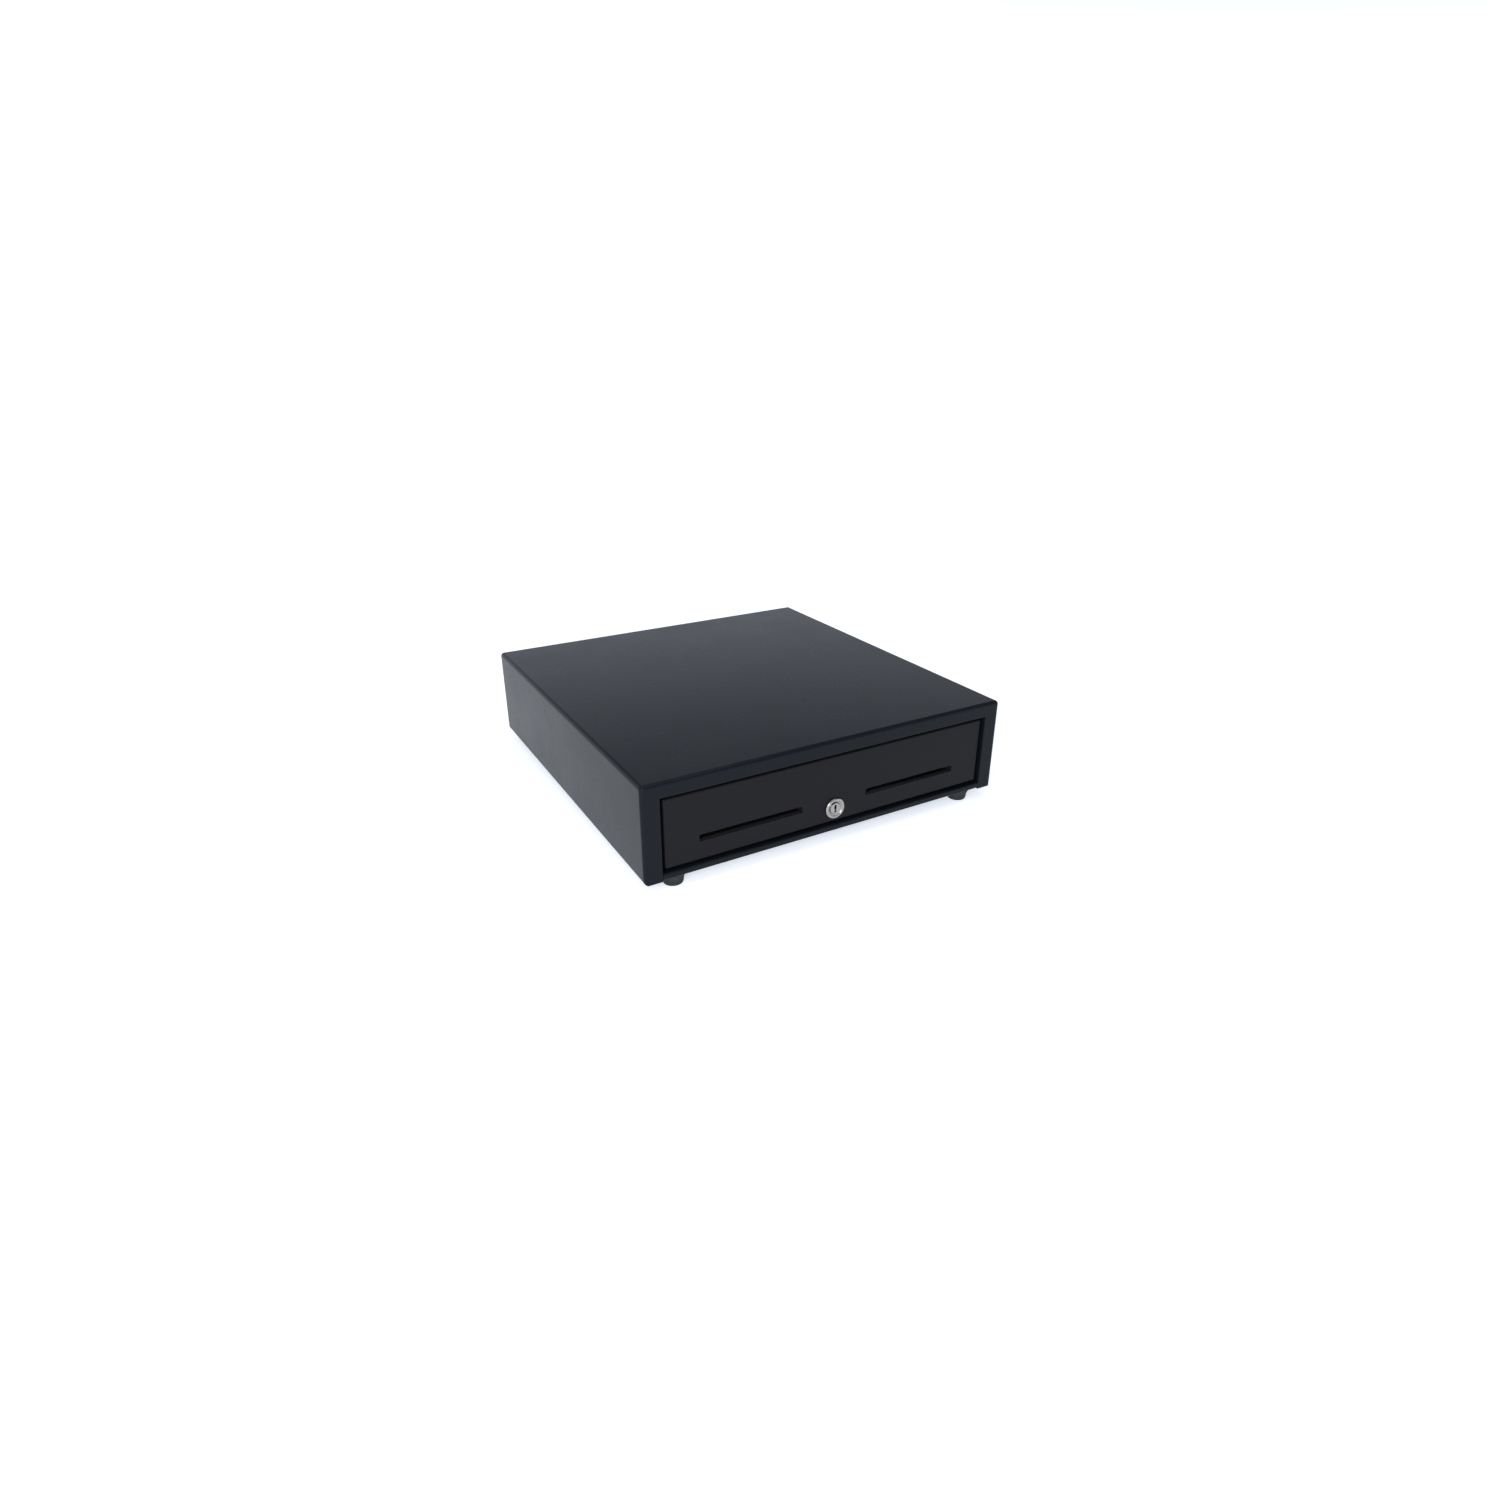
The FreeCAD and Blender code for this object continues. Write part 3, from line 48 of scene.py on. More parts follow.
# ---------------------------------------------------------------- camera
SENSOR_WIDTH = 36                    # mm
LENS = 22.18                         # mm
AZIMUTH = math.radians(-29.79)       # the camera stands in front of the object, to its left
ELEVATION = math.radians(24.49)
DISTANCE = 1.082
AIM_HEIGHT = 12 * MM                 # the camera aims near the middle of the object, this high
AIM_RIGHT = 18.8 * MM                # and this far to the right and up, as the camera sees it
AIM_UP = 5.9 * MM


def add_camera():
    """The camera at the photograph's angle."""
    across = math.cos(ELEVATION)
    back = Vector((math.sin(AZIMUTH) * across, -math.cos(AZIMUTH) * across, math.sin(ELEVATION)))
    turn = back.to_track_quat("Z", "Y")
    right = turn @ Vector((1, 0, 0))
    up = turn @ Vector((0, 1, 0))
    data = bpy.data.cameras.new("camera")
    data.lens = LENS
    data.sensor_width = SENSOR_WIDTH
    data.clip_start = 0.01
    data.clip_end = 100
    camera = bpy.data.objects.new("camera", data)
    camera.rotation_mode = "QUATERNION"
    camera.rotation_quaternion = turn
    aim = Vector((0, 0, AIM_HEIGHT)) + right * AIM_RIGHT + up * AIM_UP
    camera.location = aim + back * DISTANCE
    bpy.context.scene.collection.objects.link(camera)
    bpy.context.scene.camera = camera


# ---------------------------------------------------------------- material nodes
def add_node(tree, kind, **values):
    """A node of a kind in a tree, with some of its values set."""
    made = tree.nodes.new(kind)
    for key, value in values.items():
        setattr(made, key, value)
    return made


class Look:
    """One material: a Principled shader and short methods for the nodes that feed it."""

    def __init__(self, name, colour, roughness, metallic=0.0, specular=0.5):
        self.material = bpy.data.materials.new(name)
        self.material.use_nodes = True
        self.tree = self.material.node_tree
        self.shader = self.tree.nodes["Principled BSDF"]
        self.set("Base Color", (*colour, 1))
        self.set("Roughness", roughness)
        self.set("Metallic", metallic)
        self.set("Specular IOR Level", specular)
        self.place = self.node("ShaderNodeTexCoord").outputs["Object"]
        self.relief = None

    def node(self, kind, **values):
        """A node of this material."""
        return add_node(self.tree, kind, **values)

    def set(self, socket, value):
        """Sets one of the shader's own values."""
        self.shader.inputs[socket].default_value = value

    def feed(self, socket, value):
        """Puts a number, a colour or another node's output into a socket."""
        if isinstance(value, bpy.types.NodeSocket):
            self.tree.links.new(value, socket)
        else:
            socket.default_value = value

    def stretched(self, scale, turn=0.0):
        """The place on the object, turned about Z and scaled differently along each axis."""
        made = self.node("ShaderNodeMapping")
        made.inputs["Rotation"].default_value = (0, 0, turn)
        made.inputs["Scale"].default_value = scale
        self.feed(made.inputs["Vector"], self.place)
        return made.outputs["Vector"]

    def noise(self, scale, detail=2.0, roughness=0.5, place=None):
        """Soft random blotches, about scale of them to a metre."""
        made = self.node("ShaderNodeTexNoise")
        self.feed(made.inputs["Vector"], place or self.place)
        made.inputs["Scale"].default_value = scale
        made.inputs["Detail"].default_value = detail
        made.inputs["Roughness"].default_value = roughness
        return made.outputs["Fac"]

    def crystals(self, scale):
        """Small cells, each with a random value of its own: one value for colour, one for roughness."""
        cells = self.node("ShaderNodeTexVoronoi")
        self.feed(cells.inputs["Vector"], self.place)
        cells.inputs["Scale"].default_value = scale
        split = self.node("ShaderNodeSeparateColor")
        self.feed(split.inputs[0], cells.outputs["Color"])
        return split.outputs[0], split.outputs[1]

    def product(self, mask_a, mask_b):
        """1 where both masks are 1."""
        made = self.node("ShaderNodeMath", operation="MULTIPLY")
        self.feed(made.inputs[0], mask_a)
        self.feed(made.inputs[1], mask_b)
        return made.outputs[0]

    def between(self, value, low, high, to_low=0.0, to_high=1.0):
        """value taken from the range low to high onto the range to_low to to_high."""
        made = self.node("ShaderNodeMapRange", interpolation_type="SMOOTHSTEP")
        self.feed(made.inputs["Value"], value)
        made.inputs["From Min"].default_value = low
        made.inputs["From Max"].default_value = high
        made.inputs["To Min"].default_value = to_low
        made.inputs["To Max"].default_value = to_high
        return made.outputs["Result"]

    def rough(self, pattern, smooth, dull):
        """Varies the roughness from smooth to dull, with a pattern of noise."""
        self.feed(self.shader.inputs["Roughness"], self.between(pattern, 0.3, 0.7, smooth, dull))

    def tint(self, mask, colour):
        """Mixes another colour in where mask is 1."""
        made = self.node("ShaderNodeMix", data_type="RGBA")
        self.feed(made.inputs["Factor"], mask)
        base = self.shader.inputs["Base Color"]
        if base.is_linked:
            self.feed(made.inputs["A"], base.links[0].from_socket)
        else:
            made.inputs["A"].default_value = base.default_value
        made.inputs["B"].default_value = (*colour, 1)
        self.feed(base, made.outputs["Result"])

    def bump(self, height, depth, strength=1.0):
        """Adds a layer of relief, depth metres high."""
        made = self.node("ShaderNodeBump")
        made.inputs["Strength"].default_value = strength
        made.inputs["Distance"].default_value = depth
        self.feed(made.inputs["Height"], height)
        if self.relief is not None:
            self.feed(made.inputs["Normal"], self.relief)
        self.relief = made.outputs["Normal"]
        self.feed(self.shader.inputs["Normal"], self.relief)

    def up_facing(self):
        """1 where the surface faces up, 0 where it is upright."""
        geometry = self.node("ShaderNodeNewGeometry")
        split = self.node("ShaderNodeSeparateXYZ")
        self.feed(split.inputs[0], geometry.outputs["Normal"])
        return self.between(split.outputs["Z"], 0.2, 0.9)

    def edges(self, radius):
        """1 on edges sharper than radius, 0 on flat stretches."""
        bevel = self.node("ShaderNodeBevel", samples=4)
        bevel.inputs["Radius"].default_value = radius
        geometry = self.node("ShaderNodeNewGeometry")
        dot = self.node("ShaderNodeVectorMath", operation="DOT_PRODUCT")
        self.feed(dot.inputs[0], bevel.outputs["Normal"])
        self.feed(dot.inputs[1], geometry.outputs["Normal"])
        return self.between(dot.outputs["Value"], 0.97, 0.85)


# ---------------------------------------------------------------- materials
DUST = (0.24, 0.25, 0.27)
RUBBED_PAINT = (0.10, 0.105, 0.115)
GREASE = (0.10, 0.09, 0.07)
ZINC_YELLOW = (0.60, 0.58, 0.46)
RUBBER_BLOOM = (0.09, 0.088, 0.085)
# dark copper for the painted shade in the grooves between a winding's turns
PAINTED_GROOVE_SHADE = (0.09, 0.025, 0.01)


def times(values, factor):
    """A colour or a scale, each of its values times factor."""
    return tuple(factor * value for value in values)


def powder_coat(name, colour, roughness, specular=0.25, wear=0.35):
    """Satin powder coat: shallow orange peel, faint smudges, a film of dust on top and rubbed edges."""
    look = Look(name, colour, roughness, specular=specular)
    look.bump(look.noise(480, 1.0), 0.005 * MM, 0.5)
    look.bump(look.noise(1300, 1.0), 0.0015 * MM, 0.5)
    look.rough(look.noise(22, 3, 0.55), roughness - 0.012, roughness + 0.018)
    film = look.between(look.noise(5, 3, 0.5), 0.4, 0.75, 0, 0.012)
    look.tint(look.product(film, look.up_facing()), DUST)
    worn = look.between(look.noise(180, 4), 0.46, 0.62, 0, wear)
    look.tint(look.product(look.edges(0.5 * MM), worn), RUBBED_PAINT)
    return look.material


def plain_steel(name, colour, roughness, streak=(220, 6, 220), grease=0.0):
    """Cold rolled steel with draw marks along Y, faint blotches and thin smears of grease."""
    look = Look(name, colour, roughness, metallic=1.0)
    lines = look.noise(1.0, 3, 0.6, look.stretched(streak))
    fine = look.noise(1.0, 2, 0.5, look.stretched(times(streak, 6)))
    look.bump(lines, 0.02 * MM, 0.35)
    look.bump(fine, 0.01 * MM, 0.3)
    look.rough(look.noise(60, 4, 0.6), roughness - 0.06, roughness + 0.1)
    look.tint(look.between(lines, 0.35, 0.75, 0, 0.25), times(colour, 0.72))
    if grease:
        look.tint(look.between(look.noise(35, 3), 0.5, 0.72, 0, grease), GREASE)
    return look.material


def zinc_plate(name, colour, roughness):
    """Zinc plated steel: small dull crystals and a faint yellow cast."""
    look = Look(name, colour, roughness, metallic=1.0)
    darker, duller = look.crystals(420)
    look.tint(look.between(darker, 0, 1, 0, 0.25), times(colour, 0.78))
    look.tint(look.between(look.noise(90, 3), 0.45, 0.75, 0, 0.3), ZINC_YELLOW)
    dulled = look.between(duller, 0, 1, roughness - 0.06, roughness + 0.08)
    look.feed(look.shader.inputs["Roughness"], dulled)
    look.bump(look.noise(600, 1), 0.005 * MM, 0.3)
    return look.material


def moulded(name, colour, roughness, scuffs=0.2, scuff_colour=(0.16, 0.16, 0.17)):
    """Moulded plastic with a fine sparked texture and pale scuffs where things slide over it."""
    look = Look(name, colour, roughness, specular=0.4)
    look.bump(look.noise(1100, 1, 0.6), 0.02 * MM, 0.35)
    streaks = look.noise(1.0, 2, 0.6, look.stretched((30, 700, 60), 0.35))
    lines = look.between(streaks, 0.52, 0.78)
    patch = look.between(look.noise(18, 4), 0.42, 0.68, 0, scuffs)
    look.tint(look.product(look.product(lines, patch), look.up_facing()), scuff_colour)
    look.tint(look.between(look.noise(14, 5, 0.6), 0.5, 0.85, 0, 0.12), scuff_colour)
    look.rough(look.noise(45, 4), roughness - 0.06, roughness + 0.08)
    return look.material


def rubber(name, colour):
    """Dull moulded rubber, dusty, with a faint bloom."""
    look = Look(name, colour, 0.78, specular=0.25)
    look.bump(look.noise(2200, 3, 0.6), 0.05 * MM, 0.5)
    look.tint(look.between(look.noise(120, 5, 0.65), 0.42, 0.8, 0, 0.35), RUBBER_BLOOM)
    look.rough(look.noise(300, 3), 0.7, 0.86)
    return look.material


def bright_metal(name, colour, roughness):
    """Plated or polished metal with very fine marks."""
    look = Look(name, colour, roughness, metallic=1.0)
    look.bump(look.noise(400, 1), 0.003 * MM, 0.2)
    look.rough(look.noise(110, 3), roughness - 0.03, roughness + 0.06)
    look.tint(look.between(look.noise(80, 3), 0.5, 0.8, 0, 0.25), times(colour, 0.6))
    return look.material


def enamelled_wire(name, colour):
    """Fine enamelled copper wire wound round X, with painted shade darkening the grooves between its turns.
    """
    look = Look(name, colour, 0.32, metallic=0.85)
    wave = look.node("ShaderNodeTexWave", bands_direction="X")
    look.feed(wave.inputs["Vector"], look.place)
    wave.inputs["Scale"].default_value = 450
    wave.inputs["Distortion"].default_value = 0.6
    look.bump(wave.outputs["Fac"], 0.08 * MM, 0.7)
    # painted shade: darker copper mixed into the troughs of the wave, the grooves between turns
    look.tint(look.between(wave.outputs["Fac"], 0.3, 0.0, 0, 0.7), PAINTED_GROOVE_SHADE)
    look.rough(look.noise(200, 3), 0.26, 0.42)
    return look.material


def slot_of(material):
    """The record's slot that a material is named after."""
    return material.name.split(".")[0]


LOOKS = {slot_of(material): material for material in (
    powder_coat("case_paint", (0.0058, 0.0074, 0.0102), 0.27, specular=0.10),
    powder_coat("front_paint", (0.0080, 0.0078, 0.0094), 0.36, specular=0.10),
    powder_coat("tub_paint", (0.020, 0.0205, 0.0225), 0.38, wear=0.5),
    rubber("foot_rubber", (0.018, 0.018, 0.018)),
    zinc_plate("zinc_steel", (0.62, 0.64, 0.66), 0.34),
    plain_steel("slide_steel", (0.56, 0.58, 0.60), 0.27, grease=0.35),
    bright_metal("screw_steel", (0.58, 0.59, 0.60), 0.26),
    bright_metal("screw_black", (0.045, 0.047, 0.052), 0.38),
    plain_steel("latch_steel", (0.46, 0.46, 0.45), 0.34, streak=(60, 60, 60)),
    bright_metal("spring_steel", (0.34, 0.34, 0.35), 0.32),
    bright_metal("ball_steel", (0.74, 0.75, 0.77), 0.10),
    bright_metal("lock_chrome", (0.355, 0.343, 0.328), 0.15),
    moulded("cage_plastic", (0.62, 0.60, 0.52), 0.45, scuff_colour=(0.30, 0.26, 0.18)),
    moulded("socket_plastic", (0.020, 0.020, 0.021), 0.34),
    moulded("switch_plastic", (0.25, 0.02, 0.02), 0.36),
    moulded("guide_plastic", (0.022, 0.022, 0.024), 0.42),
    moulded("till_plastic", (0.046, 0.046, 0.048), 0.40, scuffs=0.3),
    moulded("cup_plastic", (0.060, 0.060, 0.064), 0.34, scuffs=0.35),
    moulded("clip_plastic", (0.030, 0.030, 0.032), 0.32),
    rubber("cable_jacket", (0.03, 0.03, 0.032)),
    enamelled_wire("coil_winding", (0.42, 0.13, 0.045)))}
PLATED_CONTACT = bright_metal("plated_contact", (0.78, 0.58, 0.24), 0.22)
BOBBIN = moulded("bobbin", (0.030, 0.030, 0.032), 0.40)


def finish_cad_nodes():
    """Gives every CAD node the material of its slot."""
    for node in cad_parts.values():
        slots = node.data.materials
        for i, old in enumerate(slots):
            slots[i] = LOOKS[slot_of(old)]


# ---------------------------------------------------------------- mesh helpers
SIDES = 48                           # of a round outline
SHARP = math.radians(32)             # an edge that turns more than this stays crisp
POINT = [(0, 0)]
TINY = 1e-6                          # room for rounding in angles, and keeps a division off 0


def turned(place, x_axis, y_axis, z_axis):
    """A frame at place with the given axes."""
    matrix = Matrix((x_axis, y_axis, z_axis)).transposed().to_4x4()
    matrix.translation = place
    return matrix


def facing(place, direction):
    """A frame at place whose Z points along direction."""
    matrix = Vector(direction).to_track_quat("Z", "Y").to_matrix().to_4x4()
    matrix.translation = place
    return matrix


def skin(mesh, ring_a, ring_b):
    """Faces between two rings of points, either of which may be a single point."""
    count = max(len(ring_a), len(ring_b))
    for i in range(count):
        j = (i + 1) % count
        corners = [ring_a[i % len(ring_a)], ring_a[j % len(ring_a)]]
        corners += [ring_b[j % len(ring_b)], ring_b[i % len(ring_b)]]
        mesh.faces.new(list(dict.fromkeys(corners)))


def loft(mesh, rings, closed=False):
    """Skins rings of points, one after another, and returns the rings it made."""
    made = [[mesh.verts.new(point) for point in points] for points in rings]
    for ring_a, ring_b in zip(made, made[1:]):
        skin(mesh, ring_a, ring_b)
    if closed:
        skin(mesh, made[-1], made[0])
    return made


def ring(place, outline, height, scale=1.0):
    """Points of an outline, a list of (x, y), at a height in the frame place."""
    return [place @ Vector((x * scale, y * scale, height)) for x, y in outline]


def polar(reach, sides=SIDES):
    """An outline from how far it reaches at each angle."""
    angles = [math.tau * i / sides for i in range(sides)]
    return [(reach(a) * math.cos(a), reach(a) * math.sin(a)) for a in angles]


def circle(radius, sides=SIDES):
    """A round outline, or a single point where the radius is 0."""
    if radius == 0:
        return POINT
    return polar(lambda angle: radius, sides)


def lathe(mesh, place, profile, closed=False, sides=SIDES):
    """Turns a profile of (radius, height) round the Z of place."""
    loft(mesh, [ring(place, circle(radius, sides), height) for radius, height in profile], closed)


def scaled(points):
    """Points given in millimetres, in metres."""
    return [(x * MM, y * MM) for x, y in points]


def sweep(mesh, path, radius, sides=8):
    """A round wire along a path, with its ends closed."""
    rings = [[path[0]]]
    side = None
    for i, point in enumerate(path):
        along = (path[min(i + 1, len(path) - 1)] - path[max(i - 1, 0)]).normalized()
        if side is None:
            side = along.orthogonal().normalized()
        side = (side - along * side.dot(along)).normalized()
        other = along.cross(side)
        turns = (math.tau * k / sides for k in range(sides))
        rings.append([point + (side * math.cos(a) + other * math.sin(a)) * radius for a in turns])
    rings.append([path[-1]])
    loft(mesh, rings)


def finish_piece(name, mesh, slot_name, body, *stood_for, look=None):
    """Makes the mesh an object of its own that rides on a body. Its look is its slot's unless given."""
    bmesh.ops.recalc_face_normals(mesh, faces=mesh.faces)
    data = bpy.data.meshes.new(name)
    mesh.to_mesh(data)
    mesh.free()
    data.polygons.foreach_set("use_smooth", [True] * len(data.polygons))
    data.set_sharp_from_angle(angle=SHARP)
    data.materials.append(LOOKS[slot_name] if look is None else look)
    made = bpy.data.objects.new(name, data)
    bpy.context.scene.collection.objects.link(made)
    if stood_for:
        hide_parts(*stood_for)
    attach(made, body)


def node_slot(node):
    """The slot of a CAD node's material."""
    return slot_of(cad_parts[node].data.materials[0])


def solids(node, reach):
    """The box of each solid in a CAD node, where reach is longer than a solid and shorter than a gap."""
    groups = []
    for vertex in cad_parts[node].data.vertices:
        for group in groups:
            if (group[0] - vertex.co).length < reach:
                group.append(vertex.co.copy())
                break
        else:
            groups.append([vertex.co.copy()])
    boxes = []
    for group in groups:
        low = Vector(min(point[i] for point in group) for i in range(3))
        high = Vector(max(point[i] for point in group) for i in range(3))
        boxes.append((low, high))
    return boxes


# ---------------------------------------------------------------- screws and rivets
SCREW_HEAD = 1.8 * MM                # height of a screw's head
SCREW_SHANK = 0.54                   # shares of the head's radius
RECESS_ARM = 0.56
RECESS_HALF_ANGLE = math.radians(15)
THREAD_PITCH = 0.8 * MM
THREAD_DEPTH = 0.28 * MM
PAN_HEAD = [                         # shares of the head's radius and height, from its seat up
    (0.93, 0.0), (1.0, 0.10), (1.0, 0.42), (0.965, 0.66), (0.87, 0.85), (0.74, 0.95), (0.64, 1.0)]
RIVET_SHANK = 0.55                   # share of the head's radius
RIVET_HEAD_LINE = [                  # shares of the head's radius and the rivet's length
    (0, 0), (0.45, 0.02), (0.78, 0.10), (0.96, 0.22), (1.0, 0.32), (0.97, 0.34)]
RIVET_SHANK_LINE = [                 # shares of the shank's radius and the rivet's length
    (1.0, 0.35), (1.0, 0.86), (0.94, 0.95), (0.6, 1.0), (0.35, 0.93), (0, 0.90)]


def cross_outline(arm):
    """A cross-shaped recess whose arms reach arm from the middle."""
    half_width = arm * math.tan(RECESS_HALF_ANGLE)

    def reach(angle):
        angle = abs((angle + math.pi / 4) % (math.pi / 2) - math.pi / 4)
        if angle < RECESS_HALF_ANGLE + TINY:
            return arm / math.cos(angle)
        return half_width / math.sin(angle)
    return polar(reach)


def threaded(radius, length):
    """Profile of a threaded shank that hangs below height 0, from its tip up."""
    points = [(0, -length), (radius * 0.72, -length)]
    for i in reversed(range(int(length / THREAD_PITCH) - 1)):
        root = -THREAD_PITCH * (i + 0.5)
        points += [(radius, root - THREAD_PITCH * 0.5), (radius - THREAD_DEPTH, root)]
    return points + [(radius, 0.0)]


def add_screw(mesh, place, head, length):
    """Pan-head screw with a cross recess: its head's seat is at height 0 in place."""
    profile = threaded(head * SCREW_SHANK, length)
    profile += [(head * r, SCREW_HEAD * h) for r, h in PAN_HEAD]
    rings = [ring(place, circle(radius), height) for radius, height in profile]
    recess = cross_outline(head * RECESS_ARM)
    for depth, size in ((0.99, 1.05), (0.93, 1.0), (0.25, 0.62)):
        rings.append(ring(place, recess, SCREW_HEAD * depth, size))
    rings.append(ring(place, POINT, SCREW_HEAD * 0.12))
    loft(mesh, rings)


def screws(node, name, body, direction):
    """Detailed screws at each of a CAD node's screws, their heads facing direction."""
    mesh = bmesh.new()
    axis = Vector(direction)
    for low, high in solids(node, 12 * MM):
        size = high - low
        half_length = abs(size.dot(axis)) / 2
        seat = (low + high) / 2 + axis * (half_length - SCREW_HEAD)
        add_screw(mesh, facing(seat, direction), size.x / 2, 2 * half_length - SCREW_HEAD)
    finish_piece(name, mesh, node_slot(node), body, node)


def rivets(node, name, body):
    """Solid rivets along X, domed at both ends, in place of a CAD node's rivets."""
    mesh = bmesh.new()
    for low, high in solids(node, 8 * MM):
        outward = Vector((1 if low.x > 0 else -1, 0, 0))
        length = high.x - low.x
        head = (high.y - low.y) / 2
        profile = [(head * r, length * h) for r, h in RIVET_HEAD_LINE]
        profile += [(head * RIVET_SHANK * r, length * h) for r, h in RIVET_SHANK_LINE]
        lathe(mesh, facing((low + high) / 2 - outward * length / 2, outward), profile)
    finish_piece(name, mesh, node_slot(node), body, node)


def add_fasteners():
    """Every screw and rivet that is made again."""
    screws("base_screws", "base_screws_cross", "case", (0, 0, -1))
    screws("foot_screws", "foot_screws_cross", "case", (0, 0, -1))
    screws("latch_screws", "latch_screws_cross", "case", (0, 0, 1))
    screws("front_screws", "front_screws_cross", "drawer", (0, 1, 0))
    screws("cam_screw", "cam_screw_cross", "lock", (0, 1, 0))
    rivets("slide_case_rivets", "slide_case_rivets_domed", "case")
    rivets("slide_tub_rivets", "slide_tub_rivets_domed", "drawer")


# ---------------------------------------------------------------- feet
FOOT_SIDES = 72
FOOT_PROFILE = scaled([              # from the screw's hole, over the ribbed tread, up to the base and back
    (4.2, 5.0), (4.2, 0.9), (4.6, 0.3), (5.2, 0.0), (5.9, 0.0), (6.1, 0.5), (6.6, 0.5), (6.8, 0.0),
    (7.5, 0.0), (7.7, 0.5), (8.1, 0.5), (8.3, 0.0), (8.8, 0.1), (9.4, 0.5), (9.8, 1.3), (10.3, 4.5),
    (10.9, 8.4), (11.3, 9.2), (11.9, 9.6), (12.0, 10.1), (12.0, 12.6), (11.7, 13.0), (2.4, 13.0),
    (2.1, 12.7), (2.1, 5.0)])


def add_feet():
    """Tapered rubber feet with a ribbed tread and a sunk hole for the screw."""
    mesh = bmesh.new()
    for low, high in solids("rubber_feet", 40 * MM):
        middle = (low + high) / 2
        middle.z = low.z
        lathe(mesh, facing(middle, (0, 0, 1)), FOOT_PROFILE, closed=True, sides=FOOT_SIDES)
    finish_piece("feet_ribbed", mesh, "foot_rubber", "case", "rubber_feet")


# ---------------------------------------------------------------- lock
BEZEL_PROUD = 2.5 * MM               # how far the bezel stands out of the drawer's front
BARREL_FLAT = 8.0 * MM               # the barrel's two flats, from its middle
BARREL_SIDES = 96
BARREL_THREADS = 13
BEZEL = [                            # millimetres, from the plug's hole over the rounded rim
    (6.25, -15.0), (6.25, 0.6), (6.5, 1.1), (7.1, 1.3), (7.7, 1.55), (8.1, 2.2), (8.5, 2.45),
    (8.9, 2.5), (9.5, 2.5), (10.1, 2.35), (10.7, 1.9), (10.95, 1.3), (11.0, 0.7), (11.0, 0.0)]
PLUG_RADIUS = 5.9 * MM
TAIL_RADIUS = 1.3 * MM               # hole in the plug's tail for the cam's screw
TAIL_HALF = 3.0 * MM                 # the square that the cam sits on
KEYWAY_HALF = (1.1 * MM, 3.8 * MM)
WAFERS = 5
WAFER = 0.6 * MM                     # thickness
WAFER_CHAMFER = 0.3 * MM


def lock_place():
    """Middle of the lock where it meets the drawer's front, its Z out of the front."""
    low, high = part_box("lock_barrel")
    middle = (low + high) / 2
    middle.y = low.y + BEZEL_PROUD
    return turned(middle, (1, 0, 0), (0, 0, 1), (0, -1, 0))


def barrel_thread():
    """Profile of the barrel's thread in millimetres, from the bezel back."""
    points = [(9.1, -0.01)]
    for i in range(BARREL_THREADS):
        points += [(8.75, -0.6 - i * 1.1), (9.2, -1.15 - i * 1.1)]
    return points + [(8.8, -15.0)]


def add_lock_barrel():
    """Rounded bezel and a threaded barrel with two flats."""
    mesh = bmesh.new()
    place = lock_place()
    lathe(mesh, place, scaled(BEZEL + barrel_thread()), closed=True, sides=BARREL_SIDES)
    middle = place.translation
    for vertex in mesh.verts:
        if vertex.co.y > middle.y + 0.005 * MM:
            vertex.co.x = max(-BARREL_FLAT, min(BARREL_FLAT, vertex.co.x - middle.x)) + middle.x
    finish_piece("lock_barrel_threaded", mesh, "lock_chrome", "drawer", "lock_barrel")


def rectangle(half_width, half_height):
    """A rectangular outline with as many points as a circle."""
    def reach(angle):
        to_side = half_width / max(abs(math.cos(angle)), TINY)
        to_top = half_height / max(abs(math.sin(angle)), TINY)
        return min(to_side, to_top)
    return polar(reach)


def add_wafers(mesh, place):
    """The wafers that stand one behind another in the keyway, cut to different heights."""
    half, bottom = KEYWAY_HALF[0], -KEYWAY_HALF[1]
    for i in range(WAFERS):
        depth = (0.4 - 2.1 * i) * MM
        top = (-1.4 + 0.9 * (i % 3)) * MM
        right = [(half, bottom), (half, top - WAFER_CHAMFER), (half - WAFER_CHAMFER, top)]
        outline = [(-half, bottom)] + right
        outline += [(WAFER_CHAMFER - half, top), (-half, top - WAFER_CHAMFER)]
        middle = [(0, (top + bottom) / 2)]
        back = depth - WAFER
        wafer = [(middle, depth), (outline, depth), (outline, back), (middle, back)]
        loft(mesh, [ring(place, line, height) for line, height in wafer])


def add_lock_plug():
    """The plug, with its tail, its keyway and the wafers in it."""
    mesh = bmesh.new()
    place = lock_place()
    hole = circle(TAIL_RADIUS)
    square = rectangle(TAIL_HALF, TAIL_HALF)
    face = circle(PLUG_RADIUS)
    keyway = rectangle(*KEYWAY_HALF)
    shape = [                        # outline, height in millimetres and size, from the tail to the keyway
        (POINT, -12, 1), (hole, -12, 1), (hole, -17, 1), (square, -17, 1), (square, -15.2, 1),
        (face, -15.2, 1), (face, 1.5, 1), (face, 1.85, 0.975), (face, 2.0, 0.93), (face, 2.0, 0.72),
        (keyway, 1.85, 1.1), (keyway, 1.5, 1), (keyway, -11, 1), (POINT, -11, 1)]
    loft(mesh, [ring(place, line, height * MM, size) for line, height, size in shape])
    add_wafers(mesh, place)
    finish_piece("lock_plug_keyed", mesh, "lock_chrome", "lock", "lock_plug")


